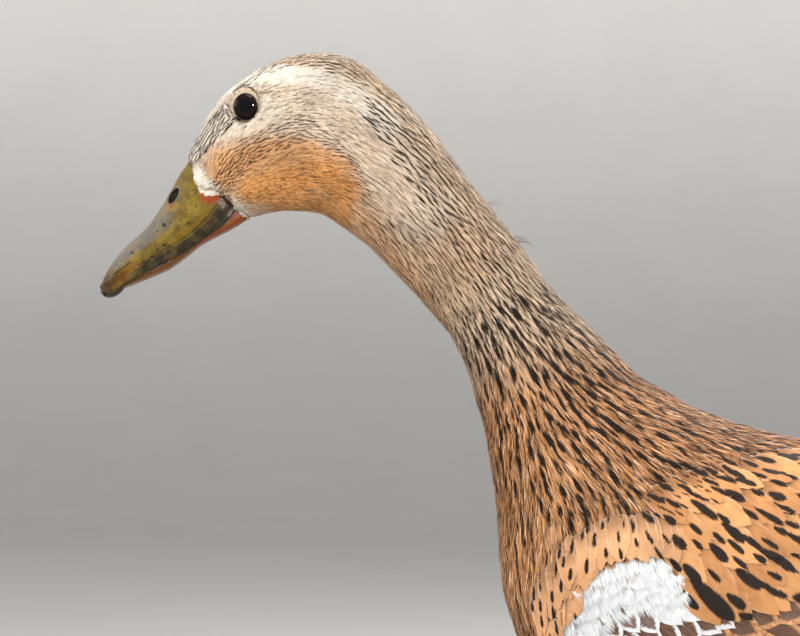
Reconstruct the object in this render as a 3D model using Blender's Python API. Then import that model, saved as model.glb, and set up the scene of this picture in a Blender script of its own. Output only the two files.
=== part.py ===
"""Runner duck: a slim domestic hen, standing still with her neck stretched forward and her bill lowered.

She faces -X, her left side is -Y, and she stands on the plane Z = 0. The origin is on that plane, halfway
between the tip of her bill and the tip of her tail. Every size below is in millimetres, and is turned into
metres where a vertex or an object is placed. The outlines run out to the tips of the feathers.

Head, neck, trunk and tail are lengths of one lofted body, parted by thin flat cuts. The other parts are
let into it, with a gap of GAP all round.
"""

import math

import bmesh
import bpy
from mathutils import Matrix, Vector

MM = 0.001
GAP = 0.3  # between any two parts
SIDES = 24  # corners of each ring of the body

# ------------------------------------------------------------------------------------------------
# The body: stations from the bill's root to the end of the tail coverts. Each names the point of the
# back line and of the belly line that it joins, its half width there, and how much narrower it is
# towards the back than towards the belly (an egg standing on its broad end).
# ------------------------------------------------------------------------------------------------
#    name             back x, z         belly x, z        half width, egg
STATIONS = (
    ("bill_root", (-213.4, 340.0), (-188.2, 315.2), 11.4, 0.10),
    ("lores", (-209.6, 348.8), (-186.1, 315.8), 13.6, 0.16),
    ("brow", (-202.9, 361.4), (-183.1, 316.5), 16.4, 0.18),
    ("forecrown", (-192.4, 372.8), (-179.4, 317.5), 18.2, 0.18),
    ("crown", (-177.7, 381.2), (-173.9, 318.2), 19.2, 0.16),
    ("hind_crown", (-160.9, 385.2), (-168.0, 318.4), 19.6, 0.16),
    ("occiput", (-144.9, 383.2), (-161.7, 318.0), 20.2, 0.10),
    ("nape", (-131.5, 373.6), (-155.0, 316.1), 20.6, 0.05),
    ("neck_top", (-118.9, 361.8), (-147.9, 311.4), 20.8, 0.02),
    ("upper_neck", (-107.1, 349.2), (-138.2, 304.3), 20.9, 0.0),
    ("mid_neck", (-92.9, 329.1), (-127.3, 293.4), 20.9, 0.0),
    ("lower_neck", (-76.9, 309.8), (-113.9, 279.1), 21.8, 0.0),
    ("neck_root", (-61.4, 287.9), (-103.8, 267.8), 24.4, 0.02),
    ("throat_root", (-43.3, 269.4), (-95.4, 250.5), 29.0, 0.04),
    ("mantle", (-23.1, 249.3), (-89.9, 230.8), 36.0, 0.06),
    ("upper_breast", (-2.1, 236.7), (-86.6, 214.8), 43.5, 0.08),
    ("crop", (17.6, 229.5), (-84.0, 199.3), 49.5, 0.10),
    ("breast", (35.7, 225.1), (-82.8, 178.3), 54.5, 0.10),
    ("shoulder", (53.3, 221.6), (-80.7, 156.5), 58.5, 0.08),
    ("keel", (70.1, 217.4), (-73.9, 136.3), 61.5, 0.06),
    ("back", (86.9, 212.3), (-56.7, 116.1), 63.8, 0.04),
    ("ribs", (105.0, 205.2), (-25.7, 100.6), 65.0, 0.02),
    ("flank", (123.9, 197.2), (8.4, 91.4), 64.0, 0.02),
    ("loin", (144.9, 187.9), (44.1, 85.9), 60.0, 0.02),
    ("rump", (163.8, 178.3), (78.5, 88.0), 53.0, 0.02),
    ("vent", (180.2, 169.2), (109.2, 97.2), 44.0, 0.02),
    ("tail_root", (193.0, 160.8), (137.3, 108.2), 36.5, 0.0),
    ("tail_coverts", (203.6, 152.4), (165.9, 117.4), 30.0, 0.0),
    ("covert_ends", (212.0, 145.6), (190.0, 124.4), 24.0, 0.0),
    ("covert_tips", (218.0, 140.8), (208.0, 129.2), 17.0, 0.0),
)
NAMES = [row[0] for row in STATIONS]
SQUARENESS = 2.25  # 2 is a plain ellipse; a little more fills the corners, as feathers do

# ------------------------------------------------------------------------------------------------
# Bill. It has axes of its own: forward along the ridge on its side, which ends at the nail, and up
# towards the culmen, the ridge of its top. Its root is where that side ridge leaves the feathers.
# ------------------------------------------------------------------------------------------------
BILL_ROOT = Vector((-202.5, 0.0, 321.1))
BILL_PITCH = math.radians(36.3)  # below the level
#    forward, culmen height, lip height (the cutting edge), half width, roundness of the top
UPPER_BILL = (
    (-8.0, 17.0, -7.6, 8.6, 1.25),
    (-2.4, 20.6, -9.2, 10.6, 1.22),
    (3.0, 18.9, -9.9, 11.3, 1.25),
    (8.0, 16.6, -10.0, 11.0, 1.30),
    (14.5, 13.5, -10.0, 10.5, 1.36),
    (20.5, 11.2, -9.7, 10.3, 1.45),
    (26.0, 9.3, -9.1, 10.5, 1.55),
    (32.0, 8.3, -8.0, 11.0, 1.65),
    (37.5, 7.8, -7.2, 11.6, 1.70),
    (42.5, 7.0, -6.8, 12.0, 1.75),
    (47.0, 5.9, -6.4, 11.8, 1.80),
    (51.5, 4.1, -6.0, 10.4, 1.80),
    (55.0, 2.4, -5.6, 7.8, 1.80),
    (57.6, 0.9, -4.6, 4.4, 1.80),
    (58.8, 0.3, -3.4, 1.8, 1.80),
)
TENT_CORNERS = 5  # from the culmen to the side ridge
#    (share of the half width, share of the lip's depth) below the side ridge
LIP_SECTION = ((0.975, 0.12), (0.93, 0.30), (0.90, 0.52), (0.92, 0.76), (0.90, 0.95), (0.84, 1.0))
PALATE = (0.78, 1.3)  # the hollow under the lip: share of the half width, and how far it is above the lip
PALATE_SLOPE = 0.6  # how far the hollow's walls lean in
#    forward, bottom of the lower bill
LOWER_BILL = (
    (-9.0, -13.7),
    (-4.2, -13.5),
    (1.0, -12.9),
    (6.0, -12.1),
    (11.0, -11.3),
    (15.0, -10.9),
    (20.0, -11.2),
    (26.0, -11.4),
    (31.0, -11.2),
    (36.0, -10.1),
    (41.0, -8.9),
    (46.0, -7.6),
    (50.5, -6.4),
)
TROUGH_CORNERS = 10
TROUGH_FULLNESS = 0.55  # 1 is round, and less is squarer
NOSTRIL_AT = (10.9, 12.5)  # forward, up
NOSTRIL_SIZE = (3.6, 1.6)  # half length, half height
NOSTRIL_SLOPE = math.radians(24.0)  # its front end is lower
NAIL_AT = (54.0, -2.7)
NAIL_SIZE = (5.9, 4.4, 4.3)  # half length, half width, half height
LOBE_AT = (-4.2, 5.6, 8.6)  # the feathered lobe on each side of the bill's root
LOBE_SIZE = (6.2, 5.6, 7.4)

# ------------------------------------------------------------------------------------------------
# Eyes
# ------------------------------------------------------------------------------------------------
EYE_AT = (-188.0, 362.0)
EYE_RADIUS = 7.4
EYE_OPENING = 5.0  # radius of what the lids leave open

# ------------------------------------------------------------------------------------------------
# Wings, folded on the body's sides: a patch of the body's own surface, raised a little.
# ------------------------------------------------------------------------------------------------
WING_FROM, WING_TO = 16.9, 26.4  # stations, counted from 0
#    share of the wing's length, angles of its upper and lower edge down from the back line, in degrees
WING_EDGES = (
    (0.0, 97.0, 101.0),
    (0.05, 74.0, 122.0),
    (0.15, 50.0, 127.0),
    (0.32, 40.0, 117.0),
    (0.52, 36.0, 106.0),
    (0.72, 34.0, 86.0),
    (0.88, 32.0, 60.0),
    (1.0, 33.0, 38.0),
)
WING_EDGE_RISE, WING_RISE, WING_DEPTH = 0.4, 2.4, 5.0  # above and below the body's surface
WING_TIP_RISE = 4.0  # the long feathers' tips stand this far off the rump
WING_ROWS, WING_COLUMNS = 16, 7
POCKET_TOP = 12.0  # the wing's pocket in the body is cut this far out

# ------------------------------------------------------------------------------------------------
# Tail fan
# ------------------------------------------------------------------------------------------------
TAIL_ROOT = Vector((176.0, 0.0, 140.2))
TAIL_PITCH = math.radians(7.0)  # below the level
TAIL_LENGTH = 74.7
TAIL_HALF_SPREAD = math.radians(27.0)
TAIL_ROOT_HALF_WIDTH = 13.0
TAIL_FEATHERS = 14
TAIL_THICKNESS = 2.6
TAIL_ARCH = 5.0  # how far the outer feathers sit below the middle ones

# ------------------------------------------------------------------------------------------------
# Legs, given for the left one (negative Y); the right one is its mirror image.
# ------------------------------------------------------------------------------------------------
HIP = Vector((57.0, -27.0, 112.0))
HOCK = Vector((69.0, -30.5, 52.0))
ANKLE = Vector((50.0, -32.0, 7.4))
ANKLE_TOP = 3.0  # where the foot meets the shank, above the ankle's middle
THIGH_RADII = (25.0, 24.0, 20.0, 13.5, 8.2, 6.3)
SHANK_RADII = (5.3, 4.3, 3.5, 3.2, 3.3, 3.9, 4.4)
SHANK_FLATTENING = 0.74  # width over depth
ANKLE_RADII = (4.4, 5.2, 4.9, 4.2)
ANKLE_LEAN = 0.17  # backwards, for each millimetre up
SOLE_DEPTH = 1.7  # the toes' middle lines run this far above the floor, and their undersides are flat
#    name, length, angle outwards from straight ahead in degrees, root radius, tip radius, joints
TOES = (
    ("inner", 43.0, -25.0, 3.0, 1.8, 2),
    ("middle", 58.0, -2.0, 3.2, 1.9, 3),
    ("outer", 55.0, 20.0, 3.0, 1.8, 4),
)
HIND_TOE = ("hind", 13.0, 152.0, 2.2, 1.4, 1)
HIND_TOE_HEIGHT = 6.0
WEB_HEIGHT, WEB_THICKNESS = 0.5, 1.3
WEB_SAG = 0.14  # how far the web's front edge falls back between two toes, as a share of their length
CLAW_LENGTH, CLAW_RADIUS = 6.5, 1.5
CLAW_DROP, HIND_CLAW_DROP = 1.2, 2.2

COLOURS = {
    "plumage": ((0.62, 0.45, 0.29), 0.85),
    "face": ((0.72, 0.58, 0.42), 0.85),
    "wing": ((0.55, 0.37, 0.22), 0.8),
    "bill": ((0.33, 0.30, 0.06), 0.35),
    "nail": ((0.06, 0.06, 0.05), 0.3),
    "eye": ((0.02, 0.012, 0.01), 0.05),
    "leg": ((0.66, 0.27, 0.07), 0.5),
    "claw": ((0.10, 0.08, 0.06), 0.4),
}


# ------------------------------------------------------------------------------------------------
# Tools
# ------------------------------------------------------------------------------------------------
def clear_scene():
    for obj in list(bpy.data.objects):
        bpy.data.objects.remove(obj, do_unlink=True)


def material(name):
    found = bpy.data.materials.get(name)
    if found:
        return found
    (red, green, blue), roughness = COLOURS[name]
    made = bpy.data.materials.new(name)
    made.use_nodes = True
    shader = made.node_tree.nodes["Principled BSDF"]
    shader.inputs["Base Color"].default_value = (red, green, blue, 1.0)
    shader.inputs["Roughness"].default_value = roughness
    shader.inputs["Metallic"].default_value = 0.0
    return made


def mix(a, b, share):
    return a + (b - a) * share


def smooth_step(x):
    x = min(max(x, 0.0), 1.0)
    return x * x * (3 - 2 * x)


def on_curve(values, at):
    """The value at a place, counted in steps of the list, on a smooth curve through the list's values."""
    first = min(max(int(math.floor(at)), 0), len(values) - 2)
    share = at - first
    p1, p2 = values[first], values[first + 1]
    p0 = values[first - 1] if first > 0 else p1 + (p1 - p2)
    p3 = values[first + 2] if first + 2 < len(values) else p2 + (p2 - p1)
    slope1, slope2 = (p2 - p0) * 0.5, (p3 - p1) * 0.5
    square, cube = share * share, share * share * share
    return (
        p1 * (2 * cube - 3 * square + 1)
        + slope1 * (cube - 2 * square + share)
        + p2 * (3 * square - 2 * cube)
        + slope2 * (cube - square)
    )


def on_table(rows, column, at):
    """The value of a column at a place of the first column, along the same kind of smooth curve."""
    places = [row[0] for row in rows]
    at = min(max(at, places[0]), places[-1])
    step = max(i for i, place in enumerate(places) if place <= at or i == 0)
    step = min(step, len(rows) - 2)
    share = (at - places[step]) / (places[step + 1] - places[step])
    return on_curve([row[column] for row in rows], step + share)


def new_object(name, bm, material_name, sharp_above=50.0):
    """An object of the bmesh, in metres, with its origin in the middle of its box."""
    bmesh.ops.remove_doubles(bm, verts=bm.verts, dist=1e-4)
    bmesh.ops.recalc_face_normals(bm, faces=bm.faces)
    lowest = Vector(min(v.co[k] for v in bm.verts) for k in range(3))
    highest = Vector(max(v.co[k] for v in bm.verts) for k in range(3))
    middle = (lowest + highest) / 2
    bmesh.ops.translate(bm, verts=bm.verts, vec=-middle)
    bmesh.ops.scale(bm, verts=bm.verts, vec=(MM, MM, MM))
    mesh = bpy.data.meshes.new(name)
    bm.to_mesh(mesh)
    bm.free()
    mesh.shade_smooth()
    mesh.set_sharp_from_angle(angle=math.radians(sharp_above))
    mesh.materials.append(material(material_name))
    obj = bpy.data.objects.new(name, mesh)
    obj.location = middle * MM
    bpy.context.scene.collection.objects.link(obj)
    return obj


def loft(rings):
    """A closed bmesh through rings of points that all have the same count, with flat ends."""
    bm = bmesh.new()
    loops = []
    for ring in rings:
        corners = [bm.verts.new(point) for point in ring]
        edges = [bm.edges.new((corners[i - 1], corners[i])) for i in range(len(corners))]
        loops.append((corners, edges))
    for (_, edges), (_, next_edges) in zip(loops, loops[1:]):
        bmesh.ops.bridge_loops(bm, edges=edges + next_edges)
    for corners, _ in (loops[0], loops[-1]):
        bm.faces.new(corners)
    bmesh.ops.recalc_face_normals(bm, faces=bm.faces)
    return bm


def helper(name, bm):
    """A cutter: an object that a Boolean uses and no render shows."""
    obj = new_object(name, bm, "plumage")
    obj.hide_render = True
    obj.display_type = "WIRE"
    return obj


def boolean(obj, cutter, operation="DIFFERENCE"):
    modifier = obj.modifiers.new(f"{operation.lower()}_{cutter.name}", "BOOLEAN")
    modifier.operation = operation
    modifier.object = cutter
    modifier.solver = "EXACT"


def cut_below(bm, point, normal):
    """Removes what lies on the side that the normal points away from, and closes the cut."""
    found = bmesh.ops.bisect_plane(
        bm,
        geom=bm.verts[:] + bm.edges[:] + bm.faces[:],
        plane_co=point,
        plane_no=normal,
        clear_inner=True,
    )
    edges = [e for e in found["geom_cut"] if isinstance(e, bmesh.types.BMEdge)]
    bmesh.ops.holes_fill(bm, edges=edges)


def mirrored(bm):
    """The same shape on the other side of the middle plane."""
    twin = bm.copy()
    bmesh.ops.scale(twin, verts=twin.verts, vec=(1, -1, 1))
    bmesh.ops.reverse_faces(twin, faces=twin.faces)
    return twin


def both_sides(name, bm, material_name):
    """The left object from the bmesh, and the right one from its mirror image."""
    right = mirrored(bm)
    return (
        new_object(f"{name}_left", bm, material_name),
        new_object(f"{name}_right", right, material_name),
    )


def tube(points, radii, flattening=1.0, sides=12):
    """A round or flattened tube through points, each with its own radius, closed at both ends."""
    rings = []
    for i, point in enumerate(points):
        along = (points[min(i + 1, len(points) - 1)] - points[max(i - 1, 0)]).normalized()
        across = along.cross(Vector((0, 1, 0))).normalized()
        beside = along.cross(across).normalized()
        rings.append(
            [
                point
                + across * (radii[i] * math.cos(turn))
                + beside * (radii[i] * flattening * math.sin(turn))
                for turn in (math.tau * k / sides for k in range(sides))
            ]
        )
    return loft(rings)


# ------------------------------------------------------------------------------------------------
# Body
# ------------------------------------------------------------------------------------------------
def station(at):
    """(back point, belly point, half width, egg) of the body at a place, counted in stations."""
    back = on_curve([Vector((row[1][0], 0, row[1][1])) for row in STATIONS], at)
    belly = on_curve([Vector((row[2][0], 0, row[2][1])) for row in STATIONS], at)
    return (
        back,
        belly,
        on_curve([row[3] for row in STATIONS], at),
        on_curve([row[4] for row in STATIONS], at),
    )


def body_point(at, down_angle, grow=0.0):
    """A point of the body's surface, at an angle down from the back line on the left side."""
    back, belly, half_width, egg = station(at)
    middle, up = (back + belly) / 2, (back - belly) / 2
    height = math.cos(down_angle)
    across = math.sin(down_angle)
    width = math.copysign(abs(across) ** (2 / SQUARENESS), across) * (1 - egg * height)
    lift = math.copysign(abs(height) ** (2 / SQUARENESS), height)
    return (
        middle
        + up * (lift * (1 + grow / up.length))
        + Vector((0, -(half_width + grow) * width, 0))
    )


def body_normal(at, down_angle):
    """The outward normal of the body's surface, on the left side."""
    step = 0.02
    along = body_point(at + step, down_angle) - body_point(at - step, down_angle)
    round_it = body_point(at, down_angle + step) - body_point(at, down_angle - step)
    normal = round_it.cross(along).normalized()
    back, belly, _, _ = station(at)
    outward = body_point(at, down_angle) - (back + belly) / 2
    return normal if normal.dot(outward) > 0 else -normal


def cut_direction(at):
    """The direction, from head to tail, square to the flat cut at a station."""
    back, belly, _, _ = station(at)
    return (back - belly).cross(Vector((0, 1, 0))).normalized() * -1


def body_length(start, end, grow=0.0, half_gap=GAP / 2, rings_per_station=1):
    """The body between two stations, with each cut half a gap back from its station."""
    count = max(2, round((end - start) * rings_per_station))
    rings = []
    for i in range(count + 1):
        at = mix(start, end, i / count)
        shift = Vector()
        if i == 0:
            shift = cut_direction(at) * half_gap
        elif i == count:
            shift = cut_direction(at) * -half_gap
        rings.append([body_point(at, math.tau * k / SIDES, grow) + shift for k in range(SIDES)])
    return loft(rings)


# ------------------------------------------------------------------------------------------------
# Bill
# ------------------------------------------------------------------------------------------------
def bill_matrix():
    """From the bill's own axes (forward, left, up) to the duck's."""
    forward = Vector((-math.cos(BILL_PITCH), 0, -math.sin(BILL_PITCH)))
    left = Vector((0, -1, 0))
    up = Vector((-math.sin(BILL_PITCH), 0, math.cos(BILL_PITCH)))
    turn = Matrix((forward, left, up)).transposed().to_4x4()
    return Matrix.Translation(BILL_ROOT) @ turn


def upper_bill_ring(forward, grow=0.0):
    culmen = on_table(UPPER_BILL, 1, forward) + grow
    lip = on_table(UPPER_BILL, 2, forward) - grow
    half_width = on_table(UPPER_BILL, 3, forward) + grow
    roundness = on_table(UPPER_BILL, 4, forward)
    half = []
    for k in range(TENT_CORNERS + 1):
        turn = math.pi / 2 * k / TENT_CORNERS
        across = half_width * math.sin(turn) ** (2 / roundness)
        half.append((across, culmen * math.cos(turn) ** (2 / roundness)))
    half += [(across * half_width, depth * lip) for across, depth in LIP_SECTION]
    share, hollow = PALATE
    inner_width = share * (half_width - grow) - grow
    half += [(inner_width, lip + 0.2 * hollow), (inner_width - PALATE_SLOPE, lip + hollow)]
    whole = half + [(-across, up) for across, up in reversed(half[1:])]
    return [Vector((forward, across, up)) for across, up in whole]


def upper_bill(grow=0.0):
    rings = [upper_bill_ring(row[0], grow) for row in UPPER_BILL]
    for end, shift in ((0, -grow), (-1, grow)):
        rings[end] = [point + Vector((shift, 0, 0)) for point in rings[end]]
    bm = loft(rings)
    bmesh.ops.transform(bm, matrix=bill_matrix(), verts=bm.verts)
    return bm


def lower_bill_ring(forward, grow=0.0):
    """A trough with a flat top, which fits the hollow under the upper bill."""
    lip = on_table(UPPER_BILL, 2, forward)
    bottom = on_table(LOWER_BILL, 1, forward) - grow
    half_width = PALATE[0] * on_table(UPPER_BILL, 3, forward) - PALATE_SLOPE - GAP + grow
    top = lip + PALATE[1] - GAP + grow
    ring = []
    for k in range(TROUGH_CORNERS):
        turn = math.pi * k / (TROUGH_CORNERS - 1)
        depth = (top - bottom) * math.sin(turn) ** TROUGH_FULLNESS
        ring.append(Vector((forward, half_width * math.cos(turn), top - depth)))
    return ring


def lower_bill(grow=0.0):
    rings = [lower_bill_ring(row[0], grow) for row in LOWER_BILL]
    for end, shift in ((0, -grow), (-1, grow)):
        rings[end] = [point + Vector((shift, 0, 0)) for point in rings[end]]
    bm = loft(rings)
    bmesh.ops.transform(bm, matrix=bill_matrix(), verts=bm.verts)
    return bm


def ellipsoid(centre, half_sizes, matrix, segments=16, rings=10):
    bm = bmesh.new()
    bmesh.ops.create_uvsphere(bm, u_segments=segments, v_segments=rings, radius=1.0)
    bmesh.ops.scale(bm, verts=bm.verts, vec=half_sizes)
    bmesh.ops.translate(bm, verts=bm.verts, vec=centre)
    bmesh.ops.transform(bm, matrix=matrix, verts=bm.verts)
    return bm


def nostril_bore():
    bore = bmesh.new()
    bmesh.ops.create_cone(bore, cap_ends=True, segments=16, radius1=1, radius2=1, depth=60)
    bmesh.ops.rotate(bore, verts=bore.verts, matrix=Matrix.Rotation(math.pi / 2, 3, "X"))
    bmesh.ops.scale(bore, verts=bore.verts, vec=(NOSTRIL_SIZE[0], 1, NOSTRIL_SIZE[1]))
    bmesh.ops.rotate(bore, verts=bore.verts, matrix=Matrix.Rotation(NOSTRIL_SLOPE, 3, "Y"))
    bmesh.ops.translate(bore, verts=bore.verts, vec=(NOSTRIL_AT[0], 0, NOSTRIL_AT[1]))
    bmesh.ops.transform(bore, matrix=bill_matrix(), verts=bore.verts)
    return bore


def make_bill():
    upper = new_object("bill_upper", upper_bill(), "bill", 35.0)
    boolean(upper, helper("nostril_bore", nostril_bore()))
    new_object("bill_lower", lower_bill(), "bill", 35.0)
    nail = new_object("bill_nail", ellipsoid((NAIL_AT[0], 0, NAIL_AT[1]), NAIL_SIZE, bill_matrix()), "nail")
    boolean(nail, helper("nail_seat", upper_bill(GAP)))
    boolean(nail, helper("nail_underside", lower_bill(GAP)))


# ------------------------------------------------------------------------------------------------
# Head, neck, trunk and tail coverts
# ------------------------------------------------------------------------------------------------
def head_half_width(x, z):
    """How far the head reaches from the middle plane at a place of its side."""
    nearest = None
    for i in range(len(STATIONS) * 8):
        at = i / 8
        if at > NAMES.index("nape"):
            break
        for k in range(2, 30):
            point = body_point(at, math.pi * k / 32)
            distance = math.hypot(point.x - x, point.z - z)
            if nearest is None or distance < nearest[0]:
                nearest = (distance, abs(point.y))
    return nearest[1]


def eye_centre(side):
    """Set so deep that the ball stands out of the head by no more than the lids leave open."""
    depth = head_half_width(*EYE_AT) - math.sqrt(EYE_RADIUS**2 - EYE_OPENING**2)
    return Vector((EYE_AT[0], side * depth, EYE_AT[1]))


def make_eyes(head):
    for name, side in (("eye_left", -1), ("eye_right", 1)):
        for grow, node in ((0.0, name), (GAP, f"{name}_socket")):
            size = [EYE_RADIUS + grow] * 3
            turn = Matrix.Translation(eye_centre(side)) @ Matrix.Rotation(math.pi / 2, 4, "X")
            ball = ellipsoid((0, 0, 0), size, turn)
            if grow:
                boolean(head, helper(node, ball))
            else:
                new_object(node, ball, "eye")


def face_lobe(side):
    """The feathered lobe of the cheek that reaches forward over the bill's side."""
    return ellipsoid((LOBE_AT[0], side * LOBE_AT[1], LOBE_AT[2]), LOBE_SIZE, bill_matrix(), 12, 8)


def make_head():
    head = new_object("head", body_length(0, NAMES.index("occiput") + 0.5, rings_per_station=2), "face")
    for side, name in ((1, "lobe_left"), (-1, "lobe_right")):
        boolean(head, helper(name, face_lobe(side)), "UNION")
    boolean(head, helper("upper_bill_seat", upper_bill(GAP)))
    boolean(head, helper("lower_bill_seat", lower_bill(GAP)))
    make_eyes(head)


def make_neck_and_trunk():
    first, middle = NAMES.index("occiput") + 0.5, NAMES.index("mid_neck")
    root, end = NAMES.index("throat_root"), NAMES.index("tail_root")
    new_object("neck_upper", body_length(first, middle), "plumage")
    new_object("neck_lower", body_length(middle, root), "plumage")
    trunk = new_object("trunk", body_length(root, end), "plumage")
    coverts = new_object("tail_coverts", body_length(end, len(STATIONS) - 1), "plumage")
    return trunk, coverts


# ------------------------------------------------------------------------------------------------
# Wings
# ------------------------------------------------------------------------------------------------
def wing_place(along, down):
    """(station, angle) of a place on the left wing, both given as shares."""
    at = mix(WING_FROM, WING_TO, along)
    top, bottom = (math.radians(on_table(WING_EDGES, column, along)) for column in (1, 2))
    return at, mix(top, bottom, down)


def wing_lift(along, down, outer, pocket):
    """How far the wing's outer or inner side lies off the body's surface."""
    swell = smooth_step(min(down, 1 - down) * 3.2) * smooth_step(along * 8)
    tip = smooth_step((along - 0.6) / 0.4)
    if not outer:
        return -(WING_DEPTH * (0.35 + 0.65 * swell)) * (1 - 0.75 * tip) - (GAP if pocket else 0.0)
    if pocket:
        return POCKET_TOP
    return WING_EDGE_RISE + WING_RISE * swell * (1 - 0.6 * tip) + WING_TIP_RISE * tip * tip


def wing_shell(pocket=False):
    """The wing as a closed shell from above the body's surface to below it, or the pocket that it sits in."""
    bm = bmesh.new()
    layers = []
    for outer in (True, False):
        grid = []
        for i in range(WING_ROWS + 1):
            along = i / WING_ROWS
            row = []
            for j in range(WING_COLUMNS + 1):
                down = j / WING_COLUMNS
                at, angle = wing_place(along, down)
                lift = body_normal(at, angle) * wing_lift(along, down, outer, pocket)
                row.append(bm.verts.new(body_point(at, angle) + lift))
            grid.append(row)
        layers.append(grid)
    outer, inner = layers
    for grid in layers:
        for i in range(WING_ROWS):
            for j in range(WING_COLUMNS):
                bm.faces.new((grid[i][j], grid[i][j + 1], grid[i + 1][j + 1], grid[i + 1][j]))
    rim = [(i, 0) for i in range(WING_ROWS)]
    rim += [(WING_ROWS, j) for j in range(WING_COLUMNS)]
    rim += [(i, WING_COLUMNS) for i in range(WING_ROWS, 0, -1)]
    rim += [(0, j) for j in range(WING_COLUMNS, 0, -1)]
    for (i, j), (k, m) in zip(rim, rim[1:] + rim[:1]):
        bm.faces.new((outer[i][j], outer[k][m], inner[k][m], inner[i][j]))
    bmesh.ops.recalc_face_normals(bm, faces=bm.faces)
    return bm


def make_wings(trunk, coverts):
    both_sides("wing", wing_shell(), "wing")
    pocket = wing_shell(pocket=True)
    grown_edges(pocket, GAP)
    for side, bm in (("left", pocket), ("right", mirrored(pocket))):
        cutter = helper(f"wing_pocket_{side}", bm)
        boolean(trunk, cutter)
        boolean(coverts, cutter)


def grown_edges(bm, amount):
    """Moves every vertex outwards, by more at a sharp rim, so that a pocket clears what it holds."""
    bm.normal_update()
    moves = []
    for v in bm.verts:
        flattest = min(v.normal.dot(face.normal) for face in v.link_faces)
        moves.append((v, v.normal * amount * 1.2 / max(flattest, 0.4)))
    for v, move in moves:
        v.co += move


# ------------------------------------------------------------------------------------------------
# Tail fan
# ------------------------------------------------------------------------------------------------
def tail_fan(grow=0.0):
    """The tail feathers as one arched plate, with a rounded tip for each feather."""
    bm = bmesh.new()
    rows, columns = 5, TAIL_FEATHERS * 2
    tail_axes = Matrix.Translation(TAIL_ROOT) @ Matrix.Rotation(TAIL_PITCH, 4, "Y")
    layers = []
    for half_thickness in (TAIL_THICKNESS / 2 + grow, -TAIL_THICKNESS / 2 - grow):
        grid = []
        for i in range(rows + 1):
            along = i / rows
            row = []
            for j in range(columns + 1):
                side = 2 * j / columns - 1
                spread = TAIL_HALF_SPREAD * side
                scallop = 1 - 0.035 * (1 - abs(math.sin(math.pi * TAIL_FEATHERS * j / columns)))
                reach = TAIL_LENGTH * (1 - 0.17 * side * side) * mix(1.0, scallop, along**6) + grow
                x = along * reach * math.cos(spread)
                y = side * (TAIL_ROOT_HALF_WIDTH + grow) + along * reach * math.sin(spread) * 0.62
                thin = mix(1.0, 0.45, along)
                z = -TAIL_ARCH * side * side * mix(0.5, 1.0, along) + half_thickness * thin
                row.append(bm.verts.new(tail_axes @ Vector((x, y, z))))
            grid.append(row)
        layers.append(grid)
    for grid in layers:
        for i in range(rows):
            for j in range(columns):
                bm.faces.new((grid[i][j], grid[i][j + 1], grid[i + 1][j + 1], grid[i + 1][j]))
    top, bottom = layers
    rim = [(i, 0) for i in range(rows)] + [(rows, j) for j in range(columns)]
    rim += [(i, columns) for i in range(rows, 0, -1)] + [(0, j) for j in range(columns, 0, -1)]
    for (i, j), (k, m) in zip(rim, rim[1:] + rim[:1]):
        bm.faces.new((top[i][j], top[k][m], bottom[k][m], bottom[i][j]))
    bmesh.ops.recalc_face_normals(bm, faces=bm.faces)
    return bm


def make_tail(coverts, trunk):
    new_object("tail_fan", tail_fan(), "wing")
    slot = helper("tail_slot", tail_fan(GAP))
    boolean(coverts, slot)
    boolean(trunk, slot)


# ------------------------------------------------------------------------------------------------
# Legs
# ------------------------------------------------------------------------------------------------
def along_line(a, b, count):
    return [a.lerp(b, i / (count - 1)) for i in range(count)]


def make_thighs():
    thigh = tube(along_line(HIP, HOCK, len(THIGH_RADII)), THIGH_RADII, 0.86, 18)
    low_end = HOCK + (HIP - HOCK).normalized() * 2.0
    cut_below(thigh, low_end, (HIP - HOCK).normalized())
    first, last = NAMES.index("breast"), NAMES.index("tail_root")
    for obj in both_sides("thigh", thigh, "plumage"):
        boolean(obj, helper(f"{obj.name}_seat", body_length(first, last, GAP, 0.0)))


def make_shanks():
    top = HOCK + (HIP - HOCK).normalized() * (2.0 - GAP)
    line = along_line(ANKLE, HOCK, len(SHANK_RADII) - 1) + [top]
    shank = tube(line, list(reversed(SHANK_RADII)), SHANK_FLATTENING, 14)
    cut_below(shank, Vector((0, 0, ANKLE.z + ANKLE_TOP + GAP)), Vector((0, 0, 1)))
    both_sides("shank", shank, "leg")


def toe_direction(angle):
    turn = math.radians(angle)
    return Vector((-math.cos(turn), -math.sin(turn), 0))


def toe_points(length, angle, count=9):
    root = Vector((ANKLE.x, ANKLE.y, SOLE_DEPTH))
    tip = root + toe_direction(angle) * length
    points = along_line(root, tip, count)
    points[0] = points[0] + Vector((0, 0, 1.6))
    return points


def toe(length, angle, root_radius, tip_radius, joints):
    """A toe with a slight swelling at each joint."""
    count = 2 * joints + 4
    points = toe_points(length, angle, count)
    radii = []
    for i in range(count):
        share = i / (count - 1)
        swelling = 1 + 0.13 * math.cos(math.tau * share * joints)
        radii.append(mix(root_radius, tip_radius, share) * swelling)
    return tube(points, radii, 1.0, 8)


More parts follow.
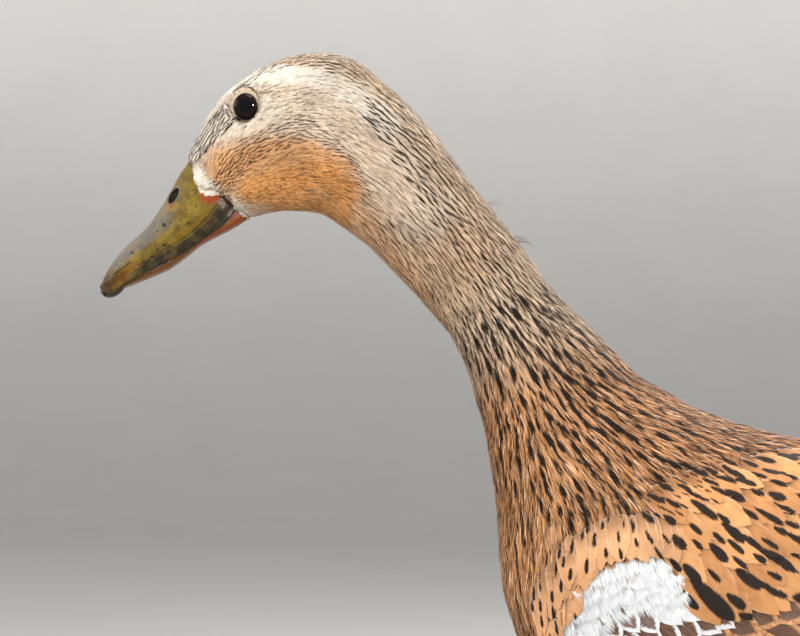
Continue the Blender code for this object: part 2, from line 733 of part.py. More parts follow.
def web():
    """The skin between the three front toes, with its front edges drawn back."""
    bm = bmesh.new()
    root = Vector((ANKLE.x, ANKLE.y, 0))
    edge = []
    for (_, first, start, *_), (_, second, stop, *_) in zip(TOES, TOES[1:]):
        for i in range(9):
            share = i / 8
            length = mix(first, second, share) * (0.93 - WEB_SAG * math.sin(math.pi * share))
            edge.append(root + toe_direction(mix(start, stop, share)) * length)
    outline = [root + Vector((1.0, 0, 0))] + edge
    lower = [bm.verts.new(p + Vector((0, 0, WEB_HEIGHT))) for p in outline]
    upper = [bm.verts.new(p + Vector((0, 0, WEB_HEIGHT + WEB_THICKNESS))) for p in outline]
    bm.faces.new(lower)
    bm.faces.new(upper)
    for i in range(len(outline)):
        bm.faces.new((lower[i - 1], lower[i], upper[i], upper[i - 1]))
    bmesh.ops.remove_doubles(bm, verts=bm.verts, dist=1e-3)
    bmesh.ops.recalc_face_normals(bm, faces=bm.faces)
    return bm


def ankle_joint():
    heights = (0.4, 3.5, ANKLE.z, ANKLE.z + ANKLE_TOP + 2.0)
    line = [Vector((ANKLE.x + ANKLE_LEAN * max(z - ANKLE.z, -3.0), ANKLE.y, z)) for z in heights]
    joint = tube(line, ANKLE_RADII, SHANK_FLATTENING + 0.1, 14)
    cut_below(joint, Vector((0, 0, ANKLE.z + ANKLE_TOP)), Vector((0, 0, -1)))
    return joint


def hind_toe():
    _, length, angle, root_radius, tip_radius, _ = HIND_TOE
    root = Vector((ANKLE.x + 0.5, ANKLE.y, HIND_TOE_HEIGHT))
    tip = root + toe_direction(angle) * length - Vector((0, 0, 2.2))
    return tube(along_line(root, tip, 5), [mix(root_radius, tip_radius, i / 4) for i in range(5)], 1.0, 10)


def claw(start, direction, drop):
    points, radii = [], []
    for i in range(5):
        share = i / 4
        reach = direction * (CLAW_LENGTH * math.sin(share * 1.2) / math.sin(1.2))
        points.append(start + reach - Vector((0, 0, drop * share * share)))
        radii.append(CLAW_RADIUS * (1 - share) ** 0.7 + 0.12)
    return tube(points, radii, 0.8, 8)


def make_feet():
    """Feet of three webbed toes and a hind toe, cut flat at the floor, and their claws."""
    pieces = [("ankle", ankle_joint()), ("web", web()), ("hind_toe", hind_toe())]
    pieces += [(f"{name}_toe", toe(*sizes)) for name, *sizes in TOES]
    floor = bmesh.new()
    bmesh.ops.create_cube(floor, size=200.0)
    bmesh.ops.translate(floor, verts=floor.verts, vec=(ANKLE.x, 0, -100.0))
    floor_cutter = helper("floor", floor)
    for side in ("left", "right"):
        parts = [(n, bm.copy() if side == "left" else mirrored(bm)) for n, bm in pieces]
        foot = new_object(f"foot_{side}", parts[0][1], "leg")
        for name, bm in parts[1:]:
            boolean(foot, helper(f"{name}_{side}", bm), "UNION")
        boolean(foot, floor_cutter)
    for name, length, angle, _, tip_radius, _ in (*TOES, HIND_TOE):
        direction = toe_direction(angle)
        if name == "hind":
            start = Vector((ANKLE.x + 0.5, ANKLE.y, HIND_TOE_HEIGHT - 2.2)) + direction * (length + GAP)
            shape = claw(start, direction, HIND_CLAW_DROP)
        else:
            start = Vector((ANKLE.x, ANKLE.y, SOLE_DEPTH + 0.3)) + direction * (length + GAP)
            shape = claw(start, direction, CLAW_DROP)
        both_sides(f"claw_{name}", shape, "claw")
    for _, bm in pieces:
        bm.free()


def main():
    clear_scene()
    make_bill()
    make_head()
    trunk, coverts = make_neck_and_trunk()
    make_wings(trunk, coverts)
    make_tail(coverts, trunk)
    make_thighs()
    make_shanks()
    make_feet()


main()
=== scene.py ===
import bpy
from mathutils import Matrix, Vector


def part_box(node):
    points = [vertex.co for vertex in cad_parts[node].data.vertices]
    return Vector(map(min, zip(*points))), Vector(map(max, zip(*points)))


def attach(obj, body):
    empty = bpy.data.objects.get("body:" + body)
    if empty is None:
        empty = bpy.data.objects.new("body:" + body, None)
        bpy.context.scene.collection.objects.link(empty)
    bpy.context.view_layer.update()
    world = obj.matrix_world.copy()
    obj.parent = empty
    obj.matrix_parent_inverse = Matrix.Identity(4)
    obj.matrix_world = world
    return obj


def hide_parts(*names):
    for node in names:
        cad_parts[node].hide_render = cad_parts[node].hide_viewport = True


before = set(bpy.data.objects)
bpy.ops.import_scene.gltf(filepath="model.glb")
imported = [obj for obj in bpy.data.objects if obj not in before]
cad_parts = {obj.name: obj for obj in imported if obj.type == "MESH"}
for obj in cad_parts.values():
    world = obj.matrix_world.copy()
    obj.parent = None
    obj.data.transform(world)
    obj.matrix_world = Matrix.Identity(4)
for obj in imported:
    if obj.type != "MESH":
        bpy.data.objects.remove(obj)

"""A domestic duck hen of the slim Runner type, standing with her neck stretched forward.

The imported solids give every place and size. This script covers them: one skin under a coat of feathers,
a horny bill, wet eyes with lids, scaled legs with webbed feet, long feathers on wings and tail, and a
plain stage. She faces -X and her left side is -Y. Lengths are in metres, or in millimetres times MM.
"""

import math

import bmesh
import bpy
import numpy as np
from bpy.props import FloatProperty, FloatVectorProperty, PointerProperty
from mathutils import Vector
from mathutils.bvhtree import BVHTree
from mathutils.kdtree import KDTree

bl_info = {
    "name": "Runner Duck",
    "version": (1, 0, 0),
    "blender": (4, 5, 0),
    "location": "3D View > Sidebar > Duck",
    "description": "Skin, feathers, bill, eyes and legs of a standing Runner duck hen",
    "category": "Object",
}

MM = 0.001
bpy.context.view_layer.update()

# ------------------------------------------------------------------------------------------------
# Places, all taken from the solids
# ------------------------------------------------------------------------------------------------


def middle_of(node):
    low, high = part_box(node)
    return (Vector(low) + Vector(high)) / 2


EYE = middle_of("eye_left")
EYE_RADIUS = (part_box("eye_left")[1][2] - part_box("eye_left")[0][2]) / 2
BILL_ROOT_MM = (-202.5, 321.1)  # where the bill's side ridge leaves the feathers
BILL_PITCH = math.radians(36.3)


# ------------------------------------------------------------------------------------------------
# The lie of the coat. Each row is a place in side view, the way its feathers point there, the coat's
# depth and the length of a strand or feather. Anywhere else these are mixed from the nearest rows.
# ------------------------------------------------------------------------------------------------
#    name             place (x, z)       lie (x, z)       depth, length
FIELD = (
    ("forehead", (-212, 345), (0.45, 0.90), 0.7, 3.6),
    ("lores", (-205, 338), (0.55, 0.80), 0.8, 3.6),
    ("bill_side", (-203, 327), (0.62, 0.78), 0.7, 3.2),
    ("gape", (-192, 322), (0.86, 0.50), 0.8, 3.4),
    ("chin", (-186.0, 316.5), (1.00, 0.08), 0.9, 4.0),
    ("brow", (-203, 361), (0.52, 0.85), 1.2, 4.4),
    ("fore_crown", (-190, 374), (0.78, 0.62), 1.6, 5.0),
    ("crown", (-172, 383), (0.97, 0.22), 2.0, 5.6),
    ("hind_crown", (-150, 383), (0.90, -0.42), 2.3, 6.4),
    ("eye_front", (-196, 358), (0.55, 0.70), 1.0, 3.8),
    ("eye_back", (-179, 364), (0.96, 0.28), 1.4, 4.8),
    ("under_eye", (-188, 352), (0.92, 0.40), 1.3, 4.4),
    ("cheek", (-176, 338), (0.93, 0.37), 1.8, 5.4),
    ("ear", (-158, 352), (0.97, -0.20), 2.2, 6.2),
    ("jaw", (-165, 324), (0.99, 0.08), 1.8, 5.6),
    ("side_of_nape", (-138, 350), (0.80, -0.60), 2.6, 7.4),
    ("nape", (-122, 360), (0.72, -0.69), 2.8, 8.0),
    ("throat", (-148, 314), (0.84, -0.54), 2.4, 7.0),
    ("upper_neck", (-122, 325), (0.70, -0.71), 3.0, 8.6),
    ("upper_neck_front", (-130, 300), (0.62, -0.78), 2.8, 8.2),
    ("upper_neck_back", (-95, 333), (0.60, -0.80), 3.2, 9.0),
    ("lower_neck", (-92, 290), (0.60, -0.80), 3.4, 9.6),
    ("lower_neck_front", (-110, 275), (0.45, -0.89), 3.2, 9.2),
    ("lower_neck_back", (-70, 300), (0.62, -0.78), 3.6, 10.0),
    ("neck_root_front", (-98, 250), (0.22, -0.97), 3.8, 11.0),
    ("neck_root", (-72, 258), (0.50, -0.86), 4.0, 12.0),
    ("neck_root_back", (-46, 270), (0.70, -0.71), 4.0, 12.0),
    ("upper_breast", (-88, 210), (0.12, -0.99), 4.4, 15.0),
    ("mantle_side", (-50, 215), (0.62, -0.78), 4.6, 16.0),
    ("mantle", (-20, 240), (0.82, -0.57), 4.8, 18.0),
    ("breast", (-80, 170), (0.26, -0.96), 4.6, 17.0),
    ("lower_breast", (-66, 128), (0.62, -0.78), 4.8, 18.0),
    ("keel", (-35, 104), (0.94, -0.34), 4.8, 18.0),
    ("belly", (30, 88), (1.00, 0.00), 4.6, 18.0),
    ("rear_belly", (95, 95), (0.97, 0.24), 4.6, 18.0),
    ("vent", (150, 112), (0.94, 0.34), 4.4, 20.0),
    ("shoulder", (-20, 200), (0.80, -0.60), 4.8, 20.0),
    ("back", (60, 215), (0.96, -0.28), 5.0, 24.0),
    ("rear_back", (130, 190), (0.91, -0.41), 5.0, 26.0),
    ("rump", (185, 160), (0.86, -0.50), 4.6, 24.0),
    ("wing_front_low", (-60, 158), (-0.05, -1.00), 4.7, 17.0),
    ("wing_front", (-54, 174), (-0.04, -1.00), 4.7, 17.0),
    ("wing_front_top", (-38, 188), (0.12, -0.99), 4.8, 18.0),
    ("side", (-30, 160), (0.78, -0.62), 4.8, 20.0),
    ("flank", (50, 140), (0.97, -0.22), 4.8, 24.0),
    ("rear_flank", (120, 135), (0.99, 0.05), 4.8, 26.0),
    ("tail", (205, 136), (0.99, -0.12), 2.6, 20.0),
)
FIELD_POWER = 4

# The cheek's feathers meet the neck's along this line, in side view, and neither lie reaches across it.
PARTING = ((-164.0, 355.5), (-157.0, 352.5), (-147.5, 342.5), (-139.5, 330.0))
PARTING_REACH = 9.0
CHEEK_ROWS = ("eye_back", "under_eye", "cheek", "ear", "jaw", "gape", "chin", "bill_side")
NECK_ROWS = ("side_of_nape", "nape", "upper_neck", "hind_crown", "upper_neck_back")
EYE_FLOW = (7.0, 11.5)  # the coat turns round the eye between these distances from its middle

# The thigh's own lie: down the leg, on a cone whose coat thins towards the hock.
THIGH_DEPTH, THIGH_LENGTH, THIGH_WIDTH, THIGH_SPACING = 1.6, 8.0, 2.4, 1.5
THIGH_LIE = (0.12, 0.0, -1.0)

# ------------------------------------------------------------------------------------------------
# Markings, in side view. A patch is a bent line with a radius, and it fades over the soft width.
# ------------------------------------------------------------------------------------------------
#    mark, strength, radius, soft, line
PATCHES = (
    ("pale", 1.00, 2.7, 2.2, ((-204, 361.5), (-197, 368.5), (-188.5, 372.2), (-176, 373.4), (-160, 372.4))),
    ("pale", 0.75, 3.0, 6.0, ((-160, 372), (-146, 366), (-134, 356))),
    ("pale", 0.95, 2.0, 1.6, ((-198, 367), (-205.5, 357), (-211, 346), (-214, 339))),
    # Painted light: a faint pale band over the top of the crown, where light from above falls.
    ("pale", 0.20, 4.0, 4.0, ((-196, 376), (-172, 385), (-150, 384))),
    ("pale", 1.00, 1.6, 2.8, ((-210, 333), (-208, 328), (-203.5, 325.5))),
    ("pale", 0.60, 2.6, 4.0, ((-199, 350), (-192, 353), (-181, 357))),
    ("pale", 0.90, 1.1, 2.0, ((-195, 320.8), (-190.5, 317.2))),
    ("pale", 0.70, 2.6, 2.0, ((-196, 357.5), (-205, 348.5), (-210, 341))),
    ("pale", 0.35, 8.0, 9.0, ((-176, 362), (-160, 360), (-140, 350), (-118, 322))),
    # Painted rim light: a thin pale strip along the top outline of nape, neck and back.
    (
        "pale", 0.35, 1.5, 4.0,
        ((-126, 366), (-100, 338), (-60, 290), (-44, 274), (-10, 256), (40, 246), (90, 232)),
    ),
    ("pale", 0.30, 1.5, 4.0, ((-190, 318.5), (-184, 317.5))),
    ("warm", 0.70, 4.0, 8.0, ((-197, 334), (-182, 338), (-166, 341), (-154, 337))),
    ("warm", 0.92, 3.0, 8.0, ((-187, 326), (-172, 331), (-159, 334), (-151, 328))),
    ("warm", 0.85, 3.0, 7.0, ((-186, 323), (-170, 321.5), (-152, 320))),
    ("warm", 0.42, 5.0, 9.0, ((-146, 314), (-130, 297), (-116, 278), (-108, 262))),
    ("warm", 0.15, 14.0, 12.0, ((-150, 338), (-128, 322), (-112, 302))),
)

# Dark drops and dashes, which skin and feathers share. Each set fills a bent line with a radius and a soft
# border, in side view, at its own spacing. The bigger ones come first, and later ones keep clear of them.
#    spacing, half length, half width, darkness, radius, soft, line
DROP_SETS = (
    (12.0, 6.0, 1.7, 1.0, 60.0, 30.0, ((75, 200), (200, 165))),
    (8.6, 5.2, 1.8, 1.0, 15.0, 5.0, ((-2, 174), (30, 184), (70, 190))),
    (5.2, 2.7, 0.75, 1.0, 5.0, 2.0, ((-64, 156), (-57, 171), (-44, 182), (-28, 184), (-16, 182))),
    (5.7, 3.9, 1.15, 1.0, 40.0, 10.0, ((-52, 242), (-20, 224), (20, 214))),
    (5.7, 4.2, 0.85, 1.0, 18.0, 8.0, ((-100, 246), (-96, 200), (-84, 160), (-62, 122))),
    (13.0, 2.6, 0.6, 0.7, 40.0, 20.0, ((-30, 120), (60, 105), (140, 125))),
    (2.9, 2.6, 0.52, 1.0, 22.0, 8.0, ((-96, 248), (-72, 254), (-44, 256))),
    (2.9, 2.4, 0.40, 0.90, 34.0, 10.0, ((-96, 236), (-60, 226), (-20, 232))),
    # Painted shade: these thin, lighter dashes on the breast stand for the shade between feathers.
    (3.6, 2.6, 0.36, 0.70, 16.0, 8.0, ((-96, 200), (-84, 160), (-62, 122))),
    (
        1.9, 2.0, 0.40, 1.0, 8.0, 6.0,
        ((-126, 359), (-110.5, 338), (-98.7, 321), (-89.5, 306), (-79, 285), (-66, 266)),
    ),
    (2.1, 1.9, 0.30, 0.85, 16.0, 6.0, ((-112, 300), (-98, 280), (-84, 272))),
    (
        1.75, 1.8, 0.28, 1.0, 5.0, 3.0,
        ((-191, 376.5), (-182, 381.5), (-173, 384.5), (-162, 385), (-151, 382.5), (-140, 375.5)),
    ),
    (
        1.3, 1.3, 0.24, 0.85, 1.3, 1.8,
        ((-165.9, 356), (-155.4, 348.4), (-144.9, 340), (-140.7, 331.6), (-137.4, 323)),
    ),
    (2.0, 1.6, 0.21, 0.62, 15.0, 6.0, ((-146, 358), (-128, 332), (-110, 302))),
    (1.25, 1.4, 0.30, 1.00, 3.4, 1.2, ((-194.0, 358.8), (-200.0, 353.2), (-205.6, 347.7), (-210.4, 341.8))),
    (1.4, 1.2, 0.24, 0.85, 2.8, 3.4, ((-194, 337), (-185, 343.5), (-176, 348), (-163, 352.5))),
    (0.98, 0.5, 0.30, 0.90, 3.2, 2.0, ((-199.5, 326.5), (-193.5, 333.5), (-190, 338))),
    (1.7, 1.2, 0.20, 0.60, 4.5, 4.0, ((-177, 364), (-166, 360))),
    (1.9, 1.3, 0.18, 0.50, 8.0, 6.0, ((-184, 332), (-158, 334))),
)
#    The biggest drops, on the shoulder: place, half length, half width
SHOULDER_DROPS = (
    ((2.0, 160.5), 12.5, 3.4), ((16.0, 168.5), 7.5, 2.5), ((26.5, 176.0), 8.5, 2.3),
    ((11.0, 198.0), 6.2, 1.9), ((40.0, 160.0), 9.0, 2.6), ((22.0, 152.0), 9.0, 2.6),
)
DROP_SEED = 5
DROPS_NEAR = 6
CELL = 3.0  # of the grid that keeps drops apart, in millimetres
CELL_HASH = (73856093, 19349663, 83492791)  # large primes that turn a cube's place into one number
TRIES = 6  # random places tried for each root of a coat
EYE_RING = 7.6  # the pale ring of small feathers round the lids


# ------------------------------------------------------------------------------------------------
# Small tools
# ------------------------------------------------------------------------------------------------
def smooth_step(x):
    x = np.clip(x, 0.0, 1.0)
    return x * x * (3 - 2 * x)


def unit(vectors):
    return vectors / np.maximum(np.linalg.norm(vectors, axis=-1, keepdims=True), 1e-12)


def along_surface(vectors, normals):
    """The vectors laid flat on the surface, at unit length."""
    return unit(vectors - normals * (vectors * normals).sum(axis=-1, keepdims=True))


def line_distance(points, line):
    """Distance of side-view points from a bent line."""
    best = np.full(len(points), np.inf)
    for start, end in zip(line, line[1:]):
        a, b = np.array(start, float), np.array(end, float)
        share = np.clip(((points - a) @ (b - a)) / ((b - a) @ (b - a)), 0, 1)
        best = np.minimum(best, np.linalg.norm(points - (a + share[:, None] * (b - a)), axis=1))
    return best


def line_side(points, line):
    """Signed distance from a bent line that runs to the right: above it is more than 0."""
    best = np.full(len(points), np.inf)
    sign = np.ones(len(points))
    for start, end in zip(line, line[1:]):
        a, b = np.array(start, float), np.array(end, float)
        step = (b - a) / np.linalg.norm(b - a)
        share = np.clip(((points - a) @ step) / np.linalg.norm(b - a), 0, 1)
        gap = points - (a + share[:, None] * (b - a))
        distance = np.linalg.norm(gap, axis=1)
        nearer = distance < best
        best[nearer] = distance[nearer]
        sign[nearer] = np.sign(step[0] * gap[:, 1] - step[1] * gap[:, 0])[nearer]
    return best * sign


def side_view(points):
    """(x, z) in millimetres."""
    return points[:, (0, 2)] / MM


def height_on(line, x):
    """How high a line from left to right is at x."""
    return np.interp(x, [p[0] for p in line], [p[1] for p in line])


def same_for_all(count, *sizes):
    """One array of count equal lengths for each size in millimetres."""
    return [np.full(count, size * MM) for size in sizes]


def read_array(data, key, width, kind=float):
    """The numbers of a mesh's points, edges or triangles, one row for each."""
    values = np.empty(len(data) * width, kind)
    data.foreach_get(key, values)
    return values.reshape(-1, width)


def field_at(points):
    """(lie, depth, length) of the coat at points: the lie as 3-D vectors, the rest in metres."""
    flat = side_view(points)
    weights = np.empty((len(points), len(FIELD)))
    for k, (_, place, *_) in enumerate(FIELD):
        weights[:, k] = 1 / (np.linalg.norm(flat - place, axis=1) + 2.0) ** FIELD_POWER
    near = smooth_step(1 - line_distance(flat, PARTING) / PARTING_REACH)
    below = smooth_step(0.5 - line_side(flat, PARTING) / 1.2)
    for k, (name, *_) in enumerate(FIELD):
        if name in CHEEK_ROWS:
            weights[:, k] *= 1 - 0.98 * near * (1 - below)
        if name in NECK_ROWS:
            weights[:, k] *= 1 - 0.98 * near * below
    weights /= weights.sum(axis=1, keepdims=True)
    lies = weights @ np.array([[lie[0], 0, lie[1]] for _, _, lie, _, _ in FIELD])
    away = points - np.array((EYE.x, 0, EYE.z))
    away[:, 1] = 0
    ring = np.linalg.norm(away, axis=1) / MM
    turn = smooth_step((EYE_FLOW[1] - ring) / (EYE_FLOW[1] - EYE_FLOW[0]))
    away = unit(away)
    inwards = np.minimum((lies * away).sum(axis=1), 0.0)
    lies = lies + away * (turn * (0.15 - 1.1 * inwards))[:, None]
    return (
        lies,
        weights @ np.array([row[3] for row in FIELD]) * MM,
        weights @ np.array([row[4] for row in FIELD]) * MM,
    )


def on_thigh(points):
    """1 on the thighs below the belly, fading to 0 on the trunk."""
    low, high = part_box("thigh_left")
    flat = points[:, 2]
    inside = (points[:, 0] > low[0] - 0.006) & (points[:, 0] < high[0] + 0.006)
    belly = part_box("trunk")[0][2]
    return smooth_step((belly + 2 * MM - flat) / (8 * MM)) * inside


def marks_at(points):
    """The ground colours at points: columns warm, pale, 0, dusk."""
    flat = side_view(points)
    marks = {name: np.zeros(len(points)) for name in ("warm", "pale", "dusk")}
    for name, strength, radius, soft, line in PATCHES:
        cover = strength * smooth_step(1 - (line_distance(flat, line) - radius) / soft)
        marks[name] = np.maximum(marks[name], cover)
    ring = np.linalg.norm(flat - np.array((EYE.x, EYE.z)) / MM, axis=1)
    marks["pale"] = np.maximum(marks["pale"], 0.62 * smooth_step((EYE_RING + 1.2 - ring) / 2.4))
    marks["warm"] *= 1 - marks["pale"] * 0.9
    x, z = flat[:, 0], flat[:, 1]
    lower = smooth_step((276 - z + 0.25 * (x + 80)) / 40) * smooth_step((x + 118) / 6)
    marks["dusk"] = np.maximum(marks["dusk"], lower)
    front = smooth_step((-52 - x) / 30) * lower
    marks["warm"] = np.maximum(marks["warm"], front * 0.25)
    belly = smooth_step((122 - z) / 24) * smooth_step((x + 60) / 30)
    marks["pale"] = np.maximum(marks["pale"], belly * 0.55)
    marks["dusk"] *= 1 - belly * 0.6
    return np.stack([marks["warm"], marks["pale"], np.zeros(len(points)), marks["dusk"]], axis=1)


class Surface:
    """A closed mesh that can be sampled, and asked for its nearest point and normal."""

    def __init__(self, mesh):
        mesh.calc_loop_triangles()
        self.points = read_array(mesh.vertices, "co", 3)
        self.faces = read_array(mesh.loop_triangles, "vertices", 3, np.int32)
        corners = self.points[self.faces]
        cross = np.cross(corners[:, 1] - corners[:, 0], corners[:, 2] - corners[:, 0])
        self.areas = np.linalg.norm(cross, axis=1) / 2
        normals = np.zeros_like(self.points)
        for k in range(3):
            np.add.at(normals, self.faces[:, k], cross)
        self.normals = unit(normals)
        self.tree = BVHTree.FromPolygons(self.points.tolist(), self.faces.tolist())

    def nearest(self, points):
        """(nearest points, smooth normals there)."""
        found = np.empty((len(points), 3))
        face = np.empty(len(points), np.int32)
        for k, point in enumerate(points.tolist()):
            place, _, index, _ = self.tree.find_nearest(point)
            found[k] = place
            face[k] = index
        ids = self.faces[face]
        distance = np.linalg.norm(self.points[ids] - found[:, None], axis=2) + 1e-7
        weight = 1 / distance
        weight /= weight.sum(axis=1, keepdims=True)
        return found, unit((self.normals[ids] * weight[:, :, None]).sum(axis=1))

    def scatter(self, spacing, rng, keep):
        """Roots spread over the faces that keep picks, at most one in each cube of the spacing."""
        weight = self.areas * keep(self.points[self.faces].mean(axis=1))
        total = weight.sum()
        count = int(TRIES * total / spacing**2)
        face = rng.choice(len(weight), count, p=weight / total)
        a, b = rng.random(count), rng.random(count)
        flip = a + b > 1
        a[flip], b[flip] = 1 - a[flip], 1 - b[flip]
        corners = self.points[self.faces[face]]
        places = corners[:, 0] + a[:, None] * (corners[:, 1] - corners[:, 0])
        places += b[:, None] * (corners[:, 2] - corners[:, 0])
        cells = np.floor(places / spacing).astype(np.int64)
        key = np.bitwise_xor.reduce(cells * CELL_HASH, axis=1)
        _, first = np.unique(key, return_index=True)
        first.sort()
        return places[first], unit(self.normals[self.faces[face[first]]].mean(axis=1))


class Drops:
    """The dark drops and dashes of the whole coat."""

    def __init__(self, surface):
        rng = np.random.default_rng(DROP_SEED)
        middles, sizes, cells = [], [], {}
        cell = CELL * MM
        for side in (-1, 1):
            places, _ = on_flank([place for place, _, _ in SHOULDER_DROPS], side, surface)
            for place, (_, half_length, half_width) in zip(places, SHOULDER_DROPS):
                cells.setdefault(tuple(np.floor(place / cell).astype(int)), []).append(place)
                middles.append(place)
                sizes.append((half_length, half_width, 1.0))
        for spacing, half_length, half_width, dark, radius, soft, line in DROP_SETS:
            def near(places):
                return line_distance(side_view(places), line) < radius + soft

            places, _ = surface.scatter(spacing * 0.45 * MM, rng, near)
            cover = smooth_step(1 - (line_distance(side_view(places), line) - radius) / soft)
            chosen = places[rng.random(len(places)) < cover]
            reach = int(math.ceil(spacing / CELL))
            steps = range(-reach, reach + 1)
            for place in chosen[rng.permutation(len(chosen))]:
                key = tuple(np.floor(place / cell).astype(int))
                cubes = [(key[0] + i, key[1] + j, key[2] + k) for i in steps for j in steps for k in steps]
                others = [other for cube in cubes for other in cells.get(cube, ())]
                if any(np.linalg.norm(place - other) < spacing * MM for other in others):
                    continue
                cells.setdefault(key, []).append(place)
                middles.append(place)
                sizes.append((half_length, half_width, dark))
        self.middles = np.array(middles)
        sizes = np.array(sizes) * (MM, MM, 1)
        sizes[:, :2] *= rng.uniform(0.75, 1.25, (len(sizes), 2))
        self.half_lengths, self.half_widths, self.darks = sizes.T
        _, normals = surface.nearest(self.middles)
        self.lies = along_surface(field_at(self.middles)[0], normals)
        self.sides = np.cross(normals, self.lies)
        self.tree = KDTree(len(middles))
        for k, place in enumerate(middles):
            self.tree.insert(place, k)
        self.tree.balance()

    def dark_at(self, places, near, shift=0.0, count=DROPS_NEAR):
        """How dark points are. places is (feathers, points, 3), and near has one place for each feather.

        shift moves each blade along the drops, so that their edges fray.
        """
        best = np.zeros(places.shape[:2])
        found = np.array([[index for _, index, _ in self.tree.find_n(p, count)] for p in near.tolist()])
        for drop in found.T:
            away = places - self.middles[drop][:, None]
            long = (away * self.lies[drop][:, None]).sum(axis=-1) / self.half_lengths[drop][:, None] + shift
            wide = np.abs((away * self.sides[drop][:, None]).sum(axis=-1)) / self.half_widths[drop][:, None]
            reach = np.sqrt(np.maximum(1 - long**2, 0)) * (1 + 0.25 * long)
            cover = smooth_step((reach - wide) / 0.5 + 0.45) * (np.abs(long) < 1) * self.darks[drop][:, None]
            best = np.maximum(best, cover)
        return best


def copied_nodes(names, grow=0.0):
    """One bmesh of copies of solids, each made whole again and grown a little."""
    whole = bmesh.new()
    for name in names:
        part = bmesh.new()
        part.from_mesh(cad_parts[name].data)
        bmesh.ops.remove_doubles(part, verts=part.verts, dist=1e-6)
        bmesh.ops.recalc_face_normals(part, faces=part.faces)
        part.normal_update()
        if grow:
            moves = [(v, v.normal * grow) for v in part.verts]
            for v, move in moves:
                v.co += move
        copy = bpy.data.meshes.new("copy")
        part.to_mesh(copy)
        part.free()
        whole.from_mesh(copy)
        bpy.data.meshes.remove(copy)
    return whole


def remeshed(name, bm, voxel):
    """An object of the bmesh after a voxel remesh."""
    mesh = bpy.data.meshes.new(name)
    bm.to_mesh(mesh)
    bm.free()
    obj = bpy.data.objects.new(name, mesh)
    bpy.context.scene.collection.objects.link(obj)
    modifier = obj.modifiers.new("remesh", "REMESH")
    modifier.mode = "VOXEL"
    modifier.voxel_size = voxel
    modifier.use_smooth_shade = True
    graph = bpy.context.evaluated_depsgraph_get()
    made = bpy.data.meshes.new_from_object(obj.evaluated_get(graph))
    obj.modifiers.clear()
    obj.data = made
    made.name = name
    bpy.data.meshes.remove(mesh)
    return obj


def drop_small_shells(obj):
    """Leaves only the biggest of the mesh's separate shells."""
    bm = bmesh.new()
    bm.from_mesh(obj.data)
    seen, shells = set(), []
    for start in bm.verts:
        if start in seen:
            continue
        shell, stack = [], [start]
        seen.add(start)
        while stack:
            v = stack.pop()
            shell.append(v)
            for edge in v.link_edges:
                other = edge.other_vert(v)
                if other not in seen:
                    seen.add(other)
                    stack.append(other)
        shells.append(shell)
    shells.sort(key=len)
    for shell in shells[:-1]:
        bmesh.ops.delete(bm, geom=shell, context="VERTS")
    bm.to_mesh(obj.data)
    bm.free()


def set_points(mesh, points):
    mesh.vertices.foreach_set("co", points.ravel())
    mesh.update()


SMOOTH_IN, SMOOTH_BACK = 0.5, 0.52


def smoothed(points, edges, rounds, hold=1.0):
    """Smooths points along edges, and swells them back so that the form doesn't shrink."""
    degree = np.bincount(edges.ravel(), minlength=len(points))[:, None]
    points = points.copy()
    for _ in range(rounds):
        for step in (SMOOTH_IN, -SMOOTH_BACK):
            total = np.zeros_like(points)
            for k in range(3):
                total[:, k] += np.bincount(edges[:, 0], points[edges[:, 1], k], len(points))
                total[:, k] += np.bincount(edges[:, 1], points[edges[:, 0], k], len(points))
            points += (total / degree - points) * step * hold
    return points


def vertex_normals(mesh):
    return read_array(mesh.vertices, "normal", 3, np.float32).astype(float)


def give_colours(mesh, name, values):
    """A point attribute of four numbers."""
    layer = mesh.attributes.new(name, "FLOAT_COLOR", "POINT")
    full = np.ones((len(mesh.vertices), 4), np.float32)
    full[:, : values.shape[1]] = values
    layer.data.foreach_set("color", full.ravel())


def link(obj, material, replaces=()):
    """Puts a finished piece into the scene."""
    if obj.name not in bpy.context.scene.collection.objects:
        bpy.context.scene.collection.objects.link(obj)
    obj.data.materials.clear()
    obj.data.materials.append(material)
    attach(obj, "root")
    if replaces:
        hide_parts(*replaces)
    return obj


# ------------------------------------------------------------------------------------------------
# Joined feathers
# ------------------------------------------------------------------------------------------------
def vane_template(columns, rows):
    """(across, along, faces) of a feather's vane, as a grid."""
    bm = bmesh.new()
    bmesh.ops.create_grid(bm, x_segments=columns, y_segments=rows, size=1.0)
    bm.verts.ensure_lookup_table()
    across = np.array([v.co.x for v in bm.verts])
    along = np.array([(v.co.y + 1) / 2 for v in bm.verts])
    faces = [tuple(v.index for v in f.verts) for f in bm.faces]
    bm.free()
    return across, along, faces


